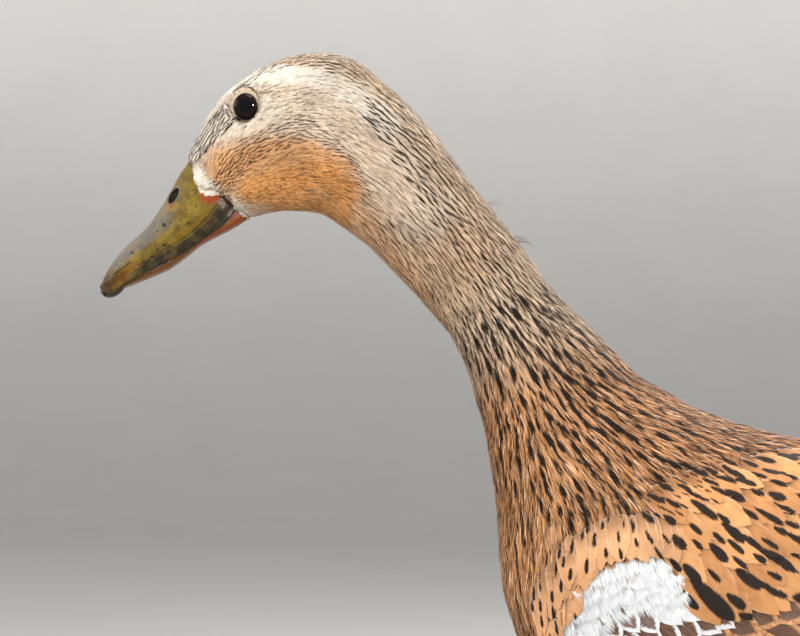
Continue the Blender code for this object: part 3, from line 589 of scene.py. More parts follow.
def joined(name, places, normals, template_faces, marks, feather, uv):
    """One mesh of many copies of a template.

    places and normals are (copies, points of the template, 3); marks is one row for each copy, feather
    holds four numbers for each point of each copy, and uv two.
    """
    copies, size = places.shape[:2]
    mesh = bpy.data.meshes.new(name)
    mesh.vertices.add(copies * size)
    mesh.vertices.foreach_set("co", places.astype(np.float32).ravel())
    corner = np.concatenate([np.array(face) for face in template_faces])
    sizes = np.array([len(face) for face in template_faces])
    loops = (corner[None, :] + (np.arange(copies) * size)[:, None]).ravel()
    totals = np.tile(sizes, copies)
    mesh.loops.add(len(loops))
    mesh.loops.foreach_set("vertex_index", loops.astype(np.int32))
    mesh.polygons.add(len(totals))
    starts = np.concatenate([[0], np.cumsum(totals)[:-1]])
    mesh.polygons.foreach_set("loop_start", starts.astype(np.int32))
    mesh.polygons.foreach_set("use_smooth", np.ones(len(totals), bool))
    mesh.update(calc_edges=True)
    give_colours(mesh, "marks", np.repeat(marks, size, axis=0))
    give_colours(mesh, "feather", feather.reshape(copies * size, -1))
    layer = mesh.uv_layers.new(name="OFBake")
    layer.data.foreach_set("uv", uv.reshape(-1, 2)[loops].astype(np.float32).ravel())
    mesh.normals_split_custom_set_from_vertices(normals.reshape(-1, 3).astype(np.float32).tolist())
    return bpy.data.objects.new(name, mesh)


def laid_lines(surface, roots, normals, lies, lengths, steps):
    """Lines that start at roots and follow the surface along the lie: (points, normals), steps + 1 each."""
    points, ups = [roots], [normals]
    place, up, way = roots, normals, along_surface(lies, normals)
    for _ in range(steps):
        place, up = surface.nearest(place + way * (lengths / steps)[:, None])
        way = along_surface(way, up)
        points.append(place)
        ups.append(up)
    return np.stack(points, axis=1), np.stack(ups, axis=1)


def on_lines(values, share):
    """Values at the steps of lines, read at shares of their length: (lines, shares, 3)."""
    steps = values.shape[1] - 1
    at = np.clip(share * steps, 0, steps - 1e-9)
    low = at.astype(int)
    part = (at - low)[None, :, None]
    return values[:, low] * (1 - part) + values[:, low + 1] * part


def frames_on(surface, roots, normals, lies, lengths, steps, share):
    """Laid lines, and at shares of their length the middles, ups, tangents and sideways directions."""
    lines, ups = laid_lines(surface, roots, normals, lies, lengths, steps)
    centre, up = on_lines(lines, share), unit(on_lines(ups, share))
    tangent = unit(np.diff(lines, axis=1))[:, np.minimum((share * steps).astype(int), steps - 1)]
    return lines, centre, up, tangent, unit(np.cross(tangent, up))


#    The bird's axis in side view, from the bill's root to the tail
AXIS = np.array(
    ((-215, 328), (-176, 350), (-132, 338), (-90, 288), (-60, 235), (10, 170), (100, 145), (215, 132)), float,
)
AXIS_LENGTH = float(np.linalg.norm(np.diff(AXIS, axis=0), axis=1).sum())
PATCH = 0.003  # side of a tuft's patch in the UV map


def unwrap(points):
    """Where points lie on the body rolled out flat: along its axis, and round it."""
    flat = side_view(points)
    lengths = np.linalg.norm(np.diff(AXIS, axis=0), axis=1)
    starts = np.concatenate([[0], np.cumsum(lengths)])
    best = np.full(len(points), np.inf)
    along, above = np.zeros(len(points)), np.zeros(len(points))
    for k in range(len(AXIS) - 1):
        step = AXIS[k + 1] - AXIS[k]
        inside = np.clip(((flat - AXIS[k]) @ step) / (step @ step), 0, 1)
        gap = flat - (AXIS[k] + inside[:, None] * step)
        distance = np.linalg.norm(gap, axis=1)
        nearer = distance < best
        best[nearer] = distance[nearer]
        along[nearer] = (starts[k] + inside * lengths[k])[nearer]
        side = (gap[:, 1] * step[0] - gap[:, 0] * step[1]) / np.linalg.norm(step)
        above[nearer] = side[nearer]
    angle = np.arctan2(points[:, 1] / MM, above)
    return np.stack([along / starts[-1], angle / math.tau + 0.5], axis=1)


def bake_patches(roots, across, along):
    """A small patch of the unwrap for each tuft, at its root's place."""
    place = unwrap(roots)
    low, high = place.min(axis=0), place.max(axis=0)
    place = 0.01 + 0.98 * (place - low) / np.maximum(high - low, 1e-6)
    patch = np.stack([across * PATCH / 2, (along - 0.5) * PATCH], axis=1)
    return place[:, None, :] + patch[None, :, :]


def fan_template(blades, rows):
    """One feather as a fan of narrow blades from one root.

    (place in the fan from -1 to 1, share of the blade's length, side of the blade, number of the blade,
    faces)
    """
    fan, along, side, number, faces = [], [], [], [], []
    for blade in range(blades):
        first = len(fan)
        for row in range(rows):
            along += [row / rows] * 2
            side += [-1.0, 1.0]
        along.append(1.0)
        side.append(0.0)
        fan += [2 * blade / max(blades - 1, 1) - 1.0] * (2 * rows + 1)
        number += [blade] * (2 * rows + 1)
        faces += [(k, k + 1, k + 3, k + 2) for k in range(first, first + 2 * rows - 2, 2)]
        faces.append((first + 2 * rows - 2, first + 2 * rows - 1, first + 2 * rows))
    return np.array(fan), np.array(along), np.array(side), np.array(number), faces


def fans(name, surface, roots, normals, lies, lengths, widths, depths, marks, rng, look):
    """Many soft feathers, each a fan of fine blades laid along the surface, as one mesh."""
    count, blades = len(roots), look["blades"]
    fan, along, side, number, faces = fan_template(blades, look["rows"])
    lies = along_surface(lies, normals)
    turn = rng.normal(0, look["stray"], count)[:, None]
    lies = lies * np.cos(turn) + np.cross(normals, lies) * np.sin(turn)
    reach = along * (1 - look["round"] * fan**2)
    lines, centre, up, tangent, sideways = frames_on(surface, roots, normals, lies, lengths, 3, reach)

    def each_blade(spread):
        return rng.normal(0, look[spread], (count, blades))[:, number]

    spread = fan * (0.22 + 0.78 * smooth_step(along / 0.7))
    taper = look["blade"] * (1 - along**3.5) * (0.55 + 0.45 * smooth_step(along * 4))
    ragged = each_blade("ragged") * along
    wander = each_blade("wander") * along**2
    roll = each_blade("roll")
    half = widths[:, None] / 2
    across = spread + wander
    lift = np.sin(np.minimum(along * 1.2, 1.0) * math.pi / 2) * 1.15 - 0.15
    level = rng.uniform(look["low"], 1.0, (count, blades))[:, number]
    height = depths[:, None] * lift * level - look["camber"] * half * across**2
    height = height + side * taper * half * roll * 0.6
    places = centre + up * height[:, :, None] + tangent * (ragged * lengths[:, None])[:, :, None]
    places = places + sideways * (half * (across + side * taper))[:, :, None]
    shade = unit(up + sideways * (roll + across * look["camber"] * 2.0)[:, :, None])
    feather = np.empty((count, len(fan), 4))
    feather[..., 0] = np.clip(0.5 + 0.5 * (spread + side * taper), 0, 1)
    feather[..., 1] = reach
    feather[..., 2] = 0.5 + (rng.random((count, blades))[:, number] - 0.5) * look.get("contrast", 1.0)
    shift = each_blade("fray")
    feather[..., 3] = SHARED["drops"].dark_at(places, lines[:, 2], shift, look.get("drops", DROPS_NEAR))
    marks = marks.copy()
    if look.get("own", True):
        marks[:, 2] = rng.random(count)
    return joined(name, places, shade, faces, marks, feather, bake_patches(roots, spread, reach))


def vanes(name, surface, roots, normals, lies, lengths, widths, depths, rng, look, marks, tilt=0.0):
    """Broad feathers, cambered across, with a round tip whose barbs part a little.

    tilt turns them all about their shafts, so that each one's upper edge lies over the next.
    """
    count = len(roots)
    columns, rows = look["grid"]
    across, along, faces = vane_template(columns, rows)
    lines, centre, up, tangent, sideways = frames_on(surface, roots, normals, lies, lengths, 4, along)
    roll = tilt + rng.normal(0, look["roll"], count)[:, None, None]
    sideways = sideways * np.cos(roll) + up * np.sin(roll)
    rounding = 1 - np.clip((along - look["tip_from"]) / (1 - look["tip_from"]), 0, 1) ** 2.6
    outline = np.maximum(rounding, 0.0) ** 0.5 * smooth_step(0.35 + along / look["root_to"])
    half = widths[:, None] / 2 * outline[None, :]
    edge = np.abs(across)
    ragged = rng.normal(0, look["ragged"], (count, len(along))) * (edge[None, :] > 0.4)
    ragged *= smooth_step((along - 0.25) / 0.4)[None, :]
    drop = -0.10 * edge**2 * (along > 0.05)
    shift = (drop + ragged)[:, :, None] * tangent * lengths[:, None, None]
    lift = look["lift"][0] + (look["lift"][1] - look["lift"][0]) * smooth_step(along / 0.9)
    height = depths[:, None] * lift[None, :] - look["camber"] * widths[:, None] * edge[None, :] ** 2
    places = centre + up * height[:, :, None] + shift
    places = places + sideways * (half * across[None, :])[:, :, None]
    shade = unit(up + sideways * (across * look["camber"] * 1.6)[None, :, None])
    feather = np.empty((count, len(along), 4))
    feather[..., 0] = across[None, :] * 0.5 + 0.5
    feather[..., 1] = along[None, :]
    feather[..., 2] = 0.5 + (rng.random(count)[:, None] - 0.5) * look.get("contrast", 1.0)
    feather[..., 3] = 0.0
    if "drops" in look:
        feather[..., 3] = SHARED["drops"].dark_at(places, lines[:, 2], count=look["drops"])
    return joined(name, places, shade, faces, marks, feather, bake_patches(roots, across, along))


# ------------------------------------------------------------------------------------------------
# Shader tools
# ------------------------------------------------------------------------------------------------
class Tree:
    """A node tree being filled: add makes a node and wires its inputs, given as values or sockets."""

    def __init__(self, tree):
        self.tree = tree

    def add(self, kind, inputs=None, **settings):
        node = self.tree.nodes.new(kind)
        for key, value in settings.items():
            setattr(node, key, value)
        for key, value in (inputs or {}).items():
            socket = node.inputs[key]
            if isinstance(value, bpy.types.NodeSocket):
                self.tree.links.new(value, socket)
            elif socket.type == "RGBA":
                socket.default_value = (*value, 1.0)
            else:
                socket.default_value = value
        return node

    def math(self, operation, a, b=0.0, c=0.0, clamp=False):
        return self.add("ShaderNodeMath", {0: a, 1: b, 2: c}, operation=operation, use_clamp=clamp).outputs[0]

    def times(self, a, b):
        return self.math("MULTIPLY", a, b)

    def minus(self, a, b):
        return self.math("SUBTRACT", a, b)

    def off_middle(self, across):
        """How far a place is from the middle of a feather that is 1 wide."""
        return self.math("ABSOLUTE", self.minus(across, 0.5))

    def scaled(self, colour, share):
        return self.add("ShaderNodeVectorMath", {0: colour, 1: share}, operation="MULTIPLY").outputs[0]

    def mix(self, share, a, b, blend="MIX"):
        inputs = {0: share, 6: a, 7: b}
        return self.add("ShaderNodeMix", inputs, data_type="RGBA", blend_type=blend).outputs[2]

    def ramp(self, value, low, high, to_low=0.0, to_high=1.0):
        inputs = {"Value": value, "From Min": low, "From Max": high, "To Min": to_low, "To Max": to_high}
        return self.add("ShaderNodeMapRange", inputs, interpolation_type="SMOOTHSTEP").outputs["Result"]

    def noise(self, vector, scale, detail=3.0, roughness=0.55):
        inputs = {"Vector": vector, "Scale": scale, "Detail": detail, "Roughness": roughness}
        return self.add("ShaderNodeTexNoise", inputs).outputs["Fac"]

    def cells(self, vector, scale, feature="F1"):
        inputs = {"Vector": vector, "Scale": scale}
        return self.add("ShaderNodeTexVoronoi", inputs, feature=feature).outputs["Distance"]

    def attribute(self, name):
        node = self.add("ShaderNodeAttribute", attribute_name=name)
        parts = self.add("ShaderNodeSeparateColor", {"Color": node.outputs["Color"]})
        return parts.outputs["Red"], parts.outputs["Green"], parts.outputs["Blue"], node.outputs["Alpha"]

    def object_place(self):
        return self.add("ShaderNodeTexCoord").outputs["Object"]

    def use_group(self, name, inputs):
        return self.add("ShaderNodeGroup", inputs, node_tree=bpy.data.node_groups[name]).outputs


class Surfacing(Tree):
    """A new material's tree, with its plain numbers set on the shader's own sockets."""

    def __init__(self, name, roughness, specular):
        self.material = bpy.data.materials.new(name)
        self.material.use_nodes = True
        super().__init__(self.material.node_tree)
        self.shader = self.tree.nodes["Principled BSDF"]
        self.shader.inputs["Roughness"].default_value = roughness
        self.shader.inputs["Specular IOR Level"].default_value = specular

    def wire(self, source, socket):
        self.tree.links.new(source, self.shader.inputs[socket])

    def finish(self, colour, height=None, distance=0.0, strength=0.6):
        """Wires the colour, and a bump of the height and its distance, and gives back the material."""
        self.wire(colour, "Base Color")
        if height is not None:
            bump = self.add("ShaderNodeBump", {"Height": height, "Distance": distance, "Strength": strength})
            self.wire(bump.outputs["Normal"], "Normal")
        return self.material


def group(name, inputs, outputs):
    """A new node group that takes numbers: (tree, its input sockets by name, its output node)."""
    tree = bpy.data.node_groups.new(name, "ShaderNodeTree")
    for key in inputs:
        tree.interface.new_socket(key, in_out="INPUT", socket_type="NodeSocketFloat")
    for key, kind in outputs:
        tree.interface.new_socket(key, in_out="OUTPUT", socket_type=kind)
    filled = Tree(tree)
    start = filled.add("NodeGroupInput")
    end = filled.add("NodeGroupOutput")
    return filled, {key: start.outputs[key] for key in inputs}, end


def make_groups(colours):
    """Node groups that skin and coat share."""
    tree, given, end = group(
        "plumage ground",
        ("Warm", "Pale", "Dusk", "Shade"),
        (("Colour", "NodeSocketColor"),),
    )
    buff = tree.mix(given["Shade"], colours.buff, colours.buff_light)
    rust = tree.mix(given["Shade"], colours.rust, colours.rust_light)
    fawn = tree.mix(given["Shade"], colours.fawn, colours.fawn_light)
    cream = tree.mix(given["Shade"], colours.cream_dark, colours.cream)
    ground = tree.mix(given["Dusk"], buff, fawn)
    ground = tree.mix(given["Warm"], ground, rust)
    ground = tree.mix(given["Pale"], ground, cream)
    cloud = tree.ramp(tree.noise(tree.object_place(), 60.0, 3.0), 0.3, 0.7, 0.84, 1.12)
    tree.tree.links.new(tree.scaled(ground, cloud), end.inputs["Colour"])

    tree, given, end = group(
        "barbs",
        ("Across", "Along", "Seed", "Count"),
        (("Lines", "NodeSocketFloat"), ("Shaft", "NodeSocketFloat")),
    )
    side = tree.off_middle(given["Across"])
    slope = tree.minus(given["Along"], tree.times(side, 0.75))
    shifted = tree.math("MULTIPLY_ADD", slope, given["Count"], tree.times(given["Seed"], 37.0))
    row = tree.add("ShaderNodeCombineXYZ", {"X": shifted, "Y": tree.times(side, 3.0), "Z": given["Seed"]})
    lines = tree.ramp(tree.noise(row.outputs[0], 1.0, 2.0, 0.6), 0.32, 0.68)
    tree.tree.links.new(lines, end.inputs["Lines"])
    tree.tree.links.new(tree.ramp(side, 0.012, 0.03, 1.0, 0.0), end.inputs["Shaft"])


def plume_material(colours):
    """Soft feathers: light and dark barbs, darker at the root as painted shade between the feathers, and the
    coat's dark drops.
    """
    tree = Surfacing("plumes", roughness=0.70, specular=0.16)
    warm, pale, own, dusk = tree.attribute("marks")
    across, along, seed, dark = tree.attribute("feather")
    streak = tree.add(
        "ShaderNodeCombineXYZ",
        {"X": tree.times(across, 46.0), "Y": tree.times(along, 3.5), "Z": tree.times(own, 91.0)},
    )
    hair = tree.ramp(tree.noise(streak.outputs[0], 1.0, 2.0, 0.6), 0.34, 0.66)
    shade = tree.math("MULTIPLY_ADD", tree.ramp(seed, 0.12, 0.85), 0.60, tree.times(hair, 0.40))
    ground = tree.use_group(
        "plumage ground", {"Warm": warm, "Pale": pale, "Dusk": dusk, "Shade": shade},
    )["Colour"]
    # Painted shade: the barbs darken towards the root, where the feathers shade each other; pale patches
    # darken less.
    root = tree.math("MAXIMUM", tree.ramp(along, 0.05, 0.6, 0.50, 1.0), tree.times(pale, 0.75))
    ground = tree.scaled(ground, root)
    bright = tree.times(tree.ramp(seed, 0.88, 0.94, 0.0, 0.25), dusk)
    ground = tree.mix(bright, ground, colours.cream)
    side = tree.off_middle(across)
    rim = tree.times(tree.times(tree.ramp(side, 0.38, 0.5), dusk), 0.13)
    ground = tree.mix(rim, ground, colours.cream)
    dull = tree.times(tree.ramp(seed, 0.16, 0.06, 0.0, 0.55), tree.ramp(pale, 0.0, 0.8, 1.0, 0.15))
    ground = tree.mix(dull, ground, colours.umber)
    frayed = tree.math("MULTIPLY_ADD", tree.minus(hair, 0.5), 0.70, dark)
    spot = tree.mix(tree.times(hair, 0.5), colours.ink, colours.umber)
    colour = tree.mix(tree.ramp(frayed, 0.22, 0.62), ground, spot)
    return tree.finish(colour, hair, 0.00012, 0.4)


def skin_material(colours):
    tree = Surfacing("skin in painted shade", roughness=0.8, specular=0.2)
    warm, pale, streak, dusk = tree.attribute("marks")
    place = tree.object_place()
    fine = tree.noise(place, 420.0, 4.0)
    ground = tree.use_group(
        "plumage ground", {"Warm": warm, "Pale": pale, "Dusk": dusk, "Shade": fine},
    )["Colour"]
    # Painted shade: the skin's ground is darkened, since it shows only in the gaps between the feathers.
    ground = tree.mix(streak, tree.mix(1.0, ground, (0.60, 0.56, 0.52), "MULTIPLY"), colours.umber)
    return tree.finish(ground, fine, 0.0006)


# ------------------------------------------------------------------------------------------------
# Settings
# ------------------------------------------------------------------------------------------------
def colour_setting(name, text, default):
    return FloatVectorProperty(
        name=name, description=text, default=default, size=3, subtype="COLOR", min=0.0, max=1.0,
    )


def length_setting(name, text, default):
    return FloatProperty(name=name, description=text, default=default, unit="LENGTH", min=0.0, precision=5)


class DuckColours(bpy.types.PropertyGroup):
    """Colours of the plumage and the bare parts."""

    buff: colour_setting("Buff", "Ground of head and neck, dark barbs", (0.37, 0.215, 0.110))
    buff_light: colour_setting("Light buff", "Ground of head and neck, light barbs", (0.91, 0.73, 0.54))
    rust: colour_setting("Rust", "Cheek and throat, dark barbs", (0.52, 0.19, 0.035))
    rust_light: colour_setting("Light rust", "Cheek and throat, light barbs", (0.96, 0.47, 0.14))
    fawn: colour_setting("Fawn", "Ground of the body feathers, dark barbs", (0.34, 0.132, 0.043))
    fawn_light: colour_setting("Light fawn", "Ground of the body feathers, light barbs", (0.80, 0.41, 0.18))
    cream: colour_setting("Cream", "The pale stripe over the eye and other pale patches", (0.96, 0.93, 0.85))
    cream_dark: colour_setting("Dark cream", "Dark barbs of the pale patches", (0.80, 0.69, 0.54))
    ink: colour_setting("Ink", "The darkest streaks and drops", (0.013, 0.0075, 0.005))
    umber: colour_setting("Umber", "The browner streaks", (0.034, 0.018, 0.010))
    white: colour_setting("White", "The wing's white coverts", (0.82, 0.84, 0.86))
    quill: colour_setting("Quill brown", "Centres of the wing's brown feathers", (0.10, 0.045, 0.024))
    gloss: colour_setting("Wing bar", "The glossy bar on the wing", (0.016, 0.036, 0.052))
    olive: colour_setting("Olive", "Ground of the bill", (0.195, 0.132, 0.015))
    bill_yellow: colour_setting("Bill yellow", "The strip along the bill's side", (0.190, 0.105, 0.005))
    bill_orange: colour_setting("Bill orange", "Bare skin at the root of the bill", (0.31, 0.030, 0.003))
    # Slate on the bill's ridge, with a painted sky reflection mixed into it.
    bill_slate_sheen: colour_setting("Bill slate and sheen", "Slate and painted sheen along the ridge of the bill", (0.110, 0.112, 0.122))
    leg: colour_setting("Leg", "Scales of legs and feet", (0.50, 0.17, 0.035))


class DuckSizes(bpy.types.PropertyGroup):
    """Sizes of the coat."""

    skin_voxel: length_setting("Skin voxel", "Mesh size of the skin", 1.5 * MM)
    bill_voxel: length_setting("Bill voxel", "Mesh size of the bill", 0.5 * MM)
    leg_voxel: length_setting("Leg voxel", "Mesh size of legs and feet", 0.65 * MM)


SHARED = {}


# ------------------------------------------------------------------------------------------------
# Skin
# ------------------------------------------------------------------------------------------------
FLESH = (
    "head", "neck_upper", "neck_lower", "trunk", "tail_coverts",
    "thigh_left", "thigh_right", "wing_left", "wing_right",
)
SKIN_GROW = 0.25 * MM


class DUCK_OT_skin(bpy.types.Operator):
    """One skin over all the flesh, set in by the depth of the coat"""

    bl_idname = "duck.skin"
    bl_label = "Skin"

    def execute(self, context):
        make_groups(context.scene.duck_colours)
        obj = remeshed("skin", copied_nodes(FLESH, SKIN_GROW), context.scene.duck_sizes.skin_voxel)
        drop_small_shells(obj)
        mesh = obj.data
        edges = read_array(mesh.edges, "vertices", 2, np.int32)
        points = smoothed(read_array(mesh.vertices, "co", 3), edges, 8)
        set_points(mesh, points)
        _, depth, _ = field_at(points)
        thigh = on_thigh(points)
        depth = depth * (1 - thigh) + THIGH_DEPTH * MM * thigh
        ring = np.hypot(points[:, 0] - EYE.x, points[:, 2] - EYE.z) / MM
        depth *= 1 - 0.6 * smooth_step((9.0 - ring) / 3.0)
        inset = points - vertex_normals(mesh) * depth[:, None]
        set_points(mesh, smoothed(inset, edges, 4))
        points = read_array(mesh.vertices, "co", 3)
        set_points(mesh, clear_of_balls(points))
        mesh.shade_smooth()
        SHARED["skin"] = Surface(mesh)
        SHARED["drops"] = Drops(SHARED["skin"])
        points = read_array(mesh.vertices, "co", 3)
        marks = marks_at(points)
        marks[:, 2] = SHARED["drops"].dark_at(points[:, None], points)[:, 0]
        give_colours(mesh, "marks", marks)
        link(obj, skin_material(context.scene.duck_colours), replaces=FLESH)
        return {"FINISHED"}


BILL_BEHIND = -0.175  # no part of the bill is behind this
BILL_GAP = 0.5 * MM


def clear_of_bill(points, gap=BILL_GAP):
    """True where a root is far enough from the bill."""
    if "bill_trees" not in SHARED:
        SHARED["bill_trees"] = [Surface(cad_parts[n].data).tree for n in ("bill_upper", "bill_lower")]
    keep = np.ones(len(points), bool)
    for k in np.flatnonzero(points[:, 0] < BILL_BEHIND):
        for tree in SHARED["bill_trees"]:
            if tree.find_nearest(points[k].tolist(), gap)[0] is not None:
                keep[k] = False
    return keep


def lid_distance(points, gap=0.0):
    """1 on the edge of the lids' opening, in side view, or that many millimetres outside it."""
    middle = np.array((EYE.x, EYE.z)) / MM + LID_SHIFT
    return np.linalg.norm((side_view(points) - middle) / (np.array(LID_OPENING) + gap), axis=1)


def clear_of_balls(points):
    """The points, moved in where they would cover an eye."""
    off = np.hypot(points[:, 0] - EYE.x, points[:, 2] - EYE.z)
    cover = abs(EYE.y) + np.sqrt(np.maximum(EYE_RADIUS**2 - off**2, 0.0)) - 0.4 * MM
    share = smooth_step((1.50 - lid_distance(points)) / 0.2)
    half = np.abs(points[:, 1])
    half += (np.minimum(half, cover) - half) * share
    points = points.copy()
    points[:, 1] = np.copysign(half, points[:, 1])
    return points


def clear_of_eyes(points):
    return lid_distance(points, EYE_GAP) > 1


def along_of(points):
    """Millimetres along the bird from the bill's root: about 0 to 95 on the head, to 220 on the neck."""
    return unwrap(points)[:, 0] * AXIS_LENGTH


# ------------------------------------------------------------------------------------------------
# Head and neck coat
# ------------------------------------------------------------------------------------------------
FACE_LOOK = {
    "blades": 4, "rows": 3, "round": 0.12, "blade": 0.23, "stray": 0.05, "ragged": 0.08, "wander": 0.03,
    "roll": 0.07, "low": 0.84, "camber": 0.06, "fray": 0.12,
}
CROWN_LOOK = {**FACE_LOOK, "blades": 5, "blade": 0.19}
NECK_LOOK = {**FACE_LOOK, "blades": 7, "blade": 0.14, "stray": 0.06, "roll": 0.09, "low": 0.80, "drops": 8}
#    name, from and to along the bird, spacing, feather width, look, seed
SOFT_COATS = (
    ("coat_face", -10, 42, 0.98, 1.40, FACE_LOOK, 11),
    ("coat_crown", 42, 95, 1.28, 1.75, CROWN_LOOK, 12),
    ("coat_neck_upper", 94, 150, 1.75, 2.35, NECK_LOOK, 13),
    ("coat_neck_lower", 149, 192, 1.90, 2.60, NECK_LOOK, 14),
)
#    A few feathers stand out behind the neck at these places, in side view
WISPS = ((-90.5, 322.0), (-79.0, 308.0))
WISP_FEATHERS = 3
WISP_HEIGHTS = (6.5, 9.0)


def clear_roots(surface, spacing, rng, keep):
    """Roots, normals and ground colours, clear of bill and eyes."""
    roots, normals = surface.scatter(spacing, rng, keep)
    clear = clear_of_bill(roots) & clear_of_eyes(roots)
    return roots[clear], normals[clear], marks_at(roots[clear])


class DUCK_OT_soft_coats(bpy.types.Operator):
    """Fine short feathers over face, crown and neck"""

    bl_idname = "duck.soft_coats"
    bl_label = "Head and neck coat"

    def execute(self, context):
        surface = SHARED["skin"]
        material = SHARED.setdefault("plumes", plume_material(context.scene.duck_colours))
        for name, low, high, spacing, width, look, seed in SOFT_COATS:
            rng = np.random.default_rng(seed)

            def inside(places):
                return (along_of(places) >= low) & (along_of(places) < high)

            roots, normals, marks = clear_roots(surface, spacing * MM, rng, inside)
            lies, depths, lengths = field_at(roots)
            count = len(roots)
            widths = width * MM * rng.uniform(0.8, 1.2, count)
            lengths = lengths * rng.uniform(0.8, 1.15, count)
            for x, z in WISPS:
                nearest = np.argsort(np.linalg.norm(roots - (x * MM, 0, z * MM), axis=1))[:WISP_FEATHERS]
                near = nearest[np.linalg.norm(roots[nearest] - (x * MM, 0, z * MM), axis=1) < 5 * MM]
                depths[near] = rng.uniform(*WISP_HEIGHTS, len(near)) * MM
            obj = fans(name, surface, roots, normals, lies, lengths, widths, depths, marks, rng, look)
            link(obj, material)
        return {"FINISHED"}


# ------------------------------------------------------------------------------------------------
# Body coat
# ------------------------------------------------------------------------------------------------
ROOT_LOOK = {
    "blades": 7, "rows": 4, "round": 0.16, "blade": 0.13, "stray": 0.09, "ragged": 0.07, "wander": 0.13,
    "roll": 0.22, "low": 0.70, "camber": 0.10, "fray": 0.20, "drops": 12,
}
BODY_LOOK = {
    **ROOT_LOOK, "blades": 11, "blade": 0.095, "round": 0.2, "stray": 0.07, "wander": 0.07, "ragged": 0.05,
    "drops": 16,
}
THIGH_LOOK = {**NECK_LOOK, "blades": 5}


def under_wing(points):
    """True for roots that the wing's feathers hide."""
    flat = side_view(points)
    top, low = height_on(WING_TOP, flat[:, 0]), height_on(WING_LOW, flat[:, 0])
    inside = (flat[:, 0] > WING_TOP[0][0]) & (flat[:, 0] < WING_TOP[-1][0])
    return inside & (flat[:, 1] < top) & (flat[:, 1] > low) & (np.abs(points[:, 1]) > 0.02)


#    name, spacing, width as a share of length, look, seed, where
BODY_COATS = (
    ("coat_neck_root", 1.9, 0.30, ROOT_LOOK, 21, lambda p, a: (a >= 190) & (a < 222)),
    ("coat_breast_left", 3.1, 0.40, BODY_LOOK, 22, lambda p, a: (a >= 218) & (p[:, 0] < 0) & (p[:, 1] < 0)),
    ("coat_breast_right", 3.1, 0.40, BODY_LOOK, 26, lambda p, a: (a >= 218) & (p[:, 0] < 0) & (p[:, 1] >= 0)),
    ("coat_back", 4.2, 0.44, BODY_LOOK, 23, lambda p, a: (p[:, 0] >= 0) & (p[:, 2] >= 0.17)),
    ("coat_belly", 4.8, 0.50, BODY_LOOK, 24, lambda p, a: (p[:, 0] >= 0) & (p[:, 2] < 0.17)),
)


class DUCK_OT_body_coats(bpy.types.Operator):
    """Soft spotted feathers over breast, back, belly and sides, and short ones on the thighs"""

    bl_idname = "duck.body_coats"
    bl_label = "Body coat"

    def execute(self, context):
        surface = SHARED["skin"]
        material = SHARED["plumes"]
        for name, spacing, broad, look, seed, where in BODY_COATS:
            rng = np.random.default_rng(seed)

            def inside(places):
                return where(places, along_of(places)) & (on_thigh(places) < 0.5) & ~under_wing(places)

            roots, normals, marks = clear_roots(surface, spacing * MM, rng, inside)
            lies, depths, lengths = field_at(roots)
            count = len(roots)
            lengths = lengths * rng.uniform(0.78, 1.02, count)
            widths = lengths * broad * rng.uniform(0.85, 1.15, count)
            obj = fans(name, surface, roots, normals, lies, lengths, widths, depths, marks, rng, look)
            link(obj, material)
        rng = np.random.default_rng(25)
        roots, normals = surface.scatter(THIGH_SPACING * MM, rng, lambda c: on_thigh(c) >= 0.4)
        count = len(roots)
        marks = marks_at(roots)
        marks[:, 1], marks[:, 3] = 0.35, 0.5
        obj = fans(
            "coat_thighs", surface, roots, normals, np.tile(THIGH_LIE, (count, 1)),
            *same_for_all(count, THIGH_LENGTH, THIGH_WIDTH, THIGH_DEPTH), marks, rng, THIGH_LOOK,
        )
        link(obj, material)
        return {"FINISHED"}


# ------------------------------------------------------------------------------------------------
# Wings. Each row of feathers has its roots on a line in side view and lies at angles below the level,
# given for its two ends. Rows are laid from the body outwards, so a later row covers an earlier one.
# ------------------------------------------------------------------------------------------------
WING_TOP = (
    (-66, 148), (-58, 166), (-46, 176), (-24, 182), (0, 184), (40, 192), (100, 184), (150, 168), (196, 150),
)
WING_LOW = ((-66, 146), (-58, 136), (-40, 129), (0, 127), (60, 128), (110, 136), (160, 145), (196, 148))

WING_ROWS = (
    # kind, feathers, root line, angles along it, lengths, widths, lifts
    ("flight", 8, ((96, 150), (78, 156), (60, 162)), (2, 4, 6), (104, 128), (12, 13), (1.2, 2.4)),
    ("bar", 13, ((-24, 136), (16, 144), (64, 152)), (10, 2, -2), (60, 76), (15, 17), (2.4, 3.2)),
    ("tertial", 5, ((44, 160), (56, 170), (68, 182)), (4, 8, 12), (84, 96), (20, 22), (3.6, 4.8)),
    ("tan", 14, ((-40, 134), (0, 146), (60, 162)), (30, 14, 4), (28, 34), (13, 14), (3.4, 3.8)),
    ("tan", 14, ((-48, 137), (-20, 148), (40, 168)), (44, 28, 10), (20, 24), (12, 13), (3.9, 4.3)),
    ("covert", 11, ((-54, 139), (-36, 150), (0, 160)), (54, 42, 26), (17, 19), (10, 11), (4.4, 4.7)),
    ("mixed", 10, ((-58, 142), (-40, 158), (-4, 165)), (60, 48, 34), (16, 17), (10, 11), (4.8, 4.9)),
)
WHITE_ROWS = tuple(
    ("white", count, line, (steep, steep - 6, steep - 10, steep - 10), (14, 15), (8, 9), (lift, lift))
    for count, line, steep, lift in (
        (11, ((-57, 143), (-45, 160), (-30, 167), (-14, 164)), 64, 5.2),
        (12, ((-58, 147), (-47, 165), (-30, 172), (-15, 169)), 66, 5.35),
        (12, ((-60, 151), (-50, 169), (-31, 177), (-16, 173)), 68, 5.5),
        (12, ((-61, 155), (-52, 173), (-32, 182), (-17, 177)), 70, 5.65),
    )
)
WING_LOOK = {
    "grid": (7, 9), "roll": 0.01, "tip_from": 0.4, "root_to": 0.3, "ragged": 0.004, "lift": (0.8, 1.0),
    "camber": 0.02,
}
SHINGLE = 0.04  # how far each wing feather is turned about its shaft, in radians
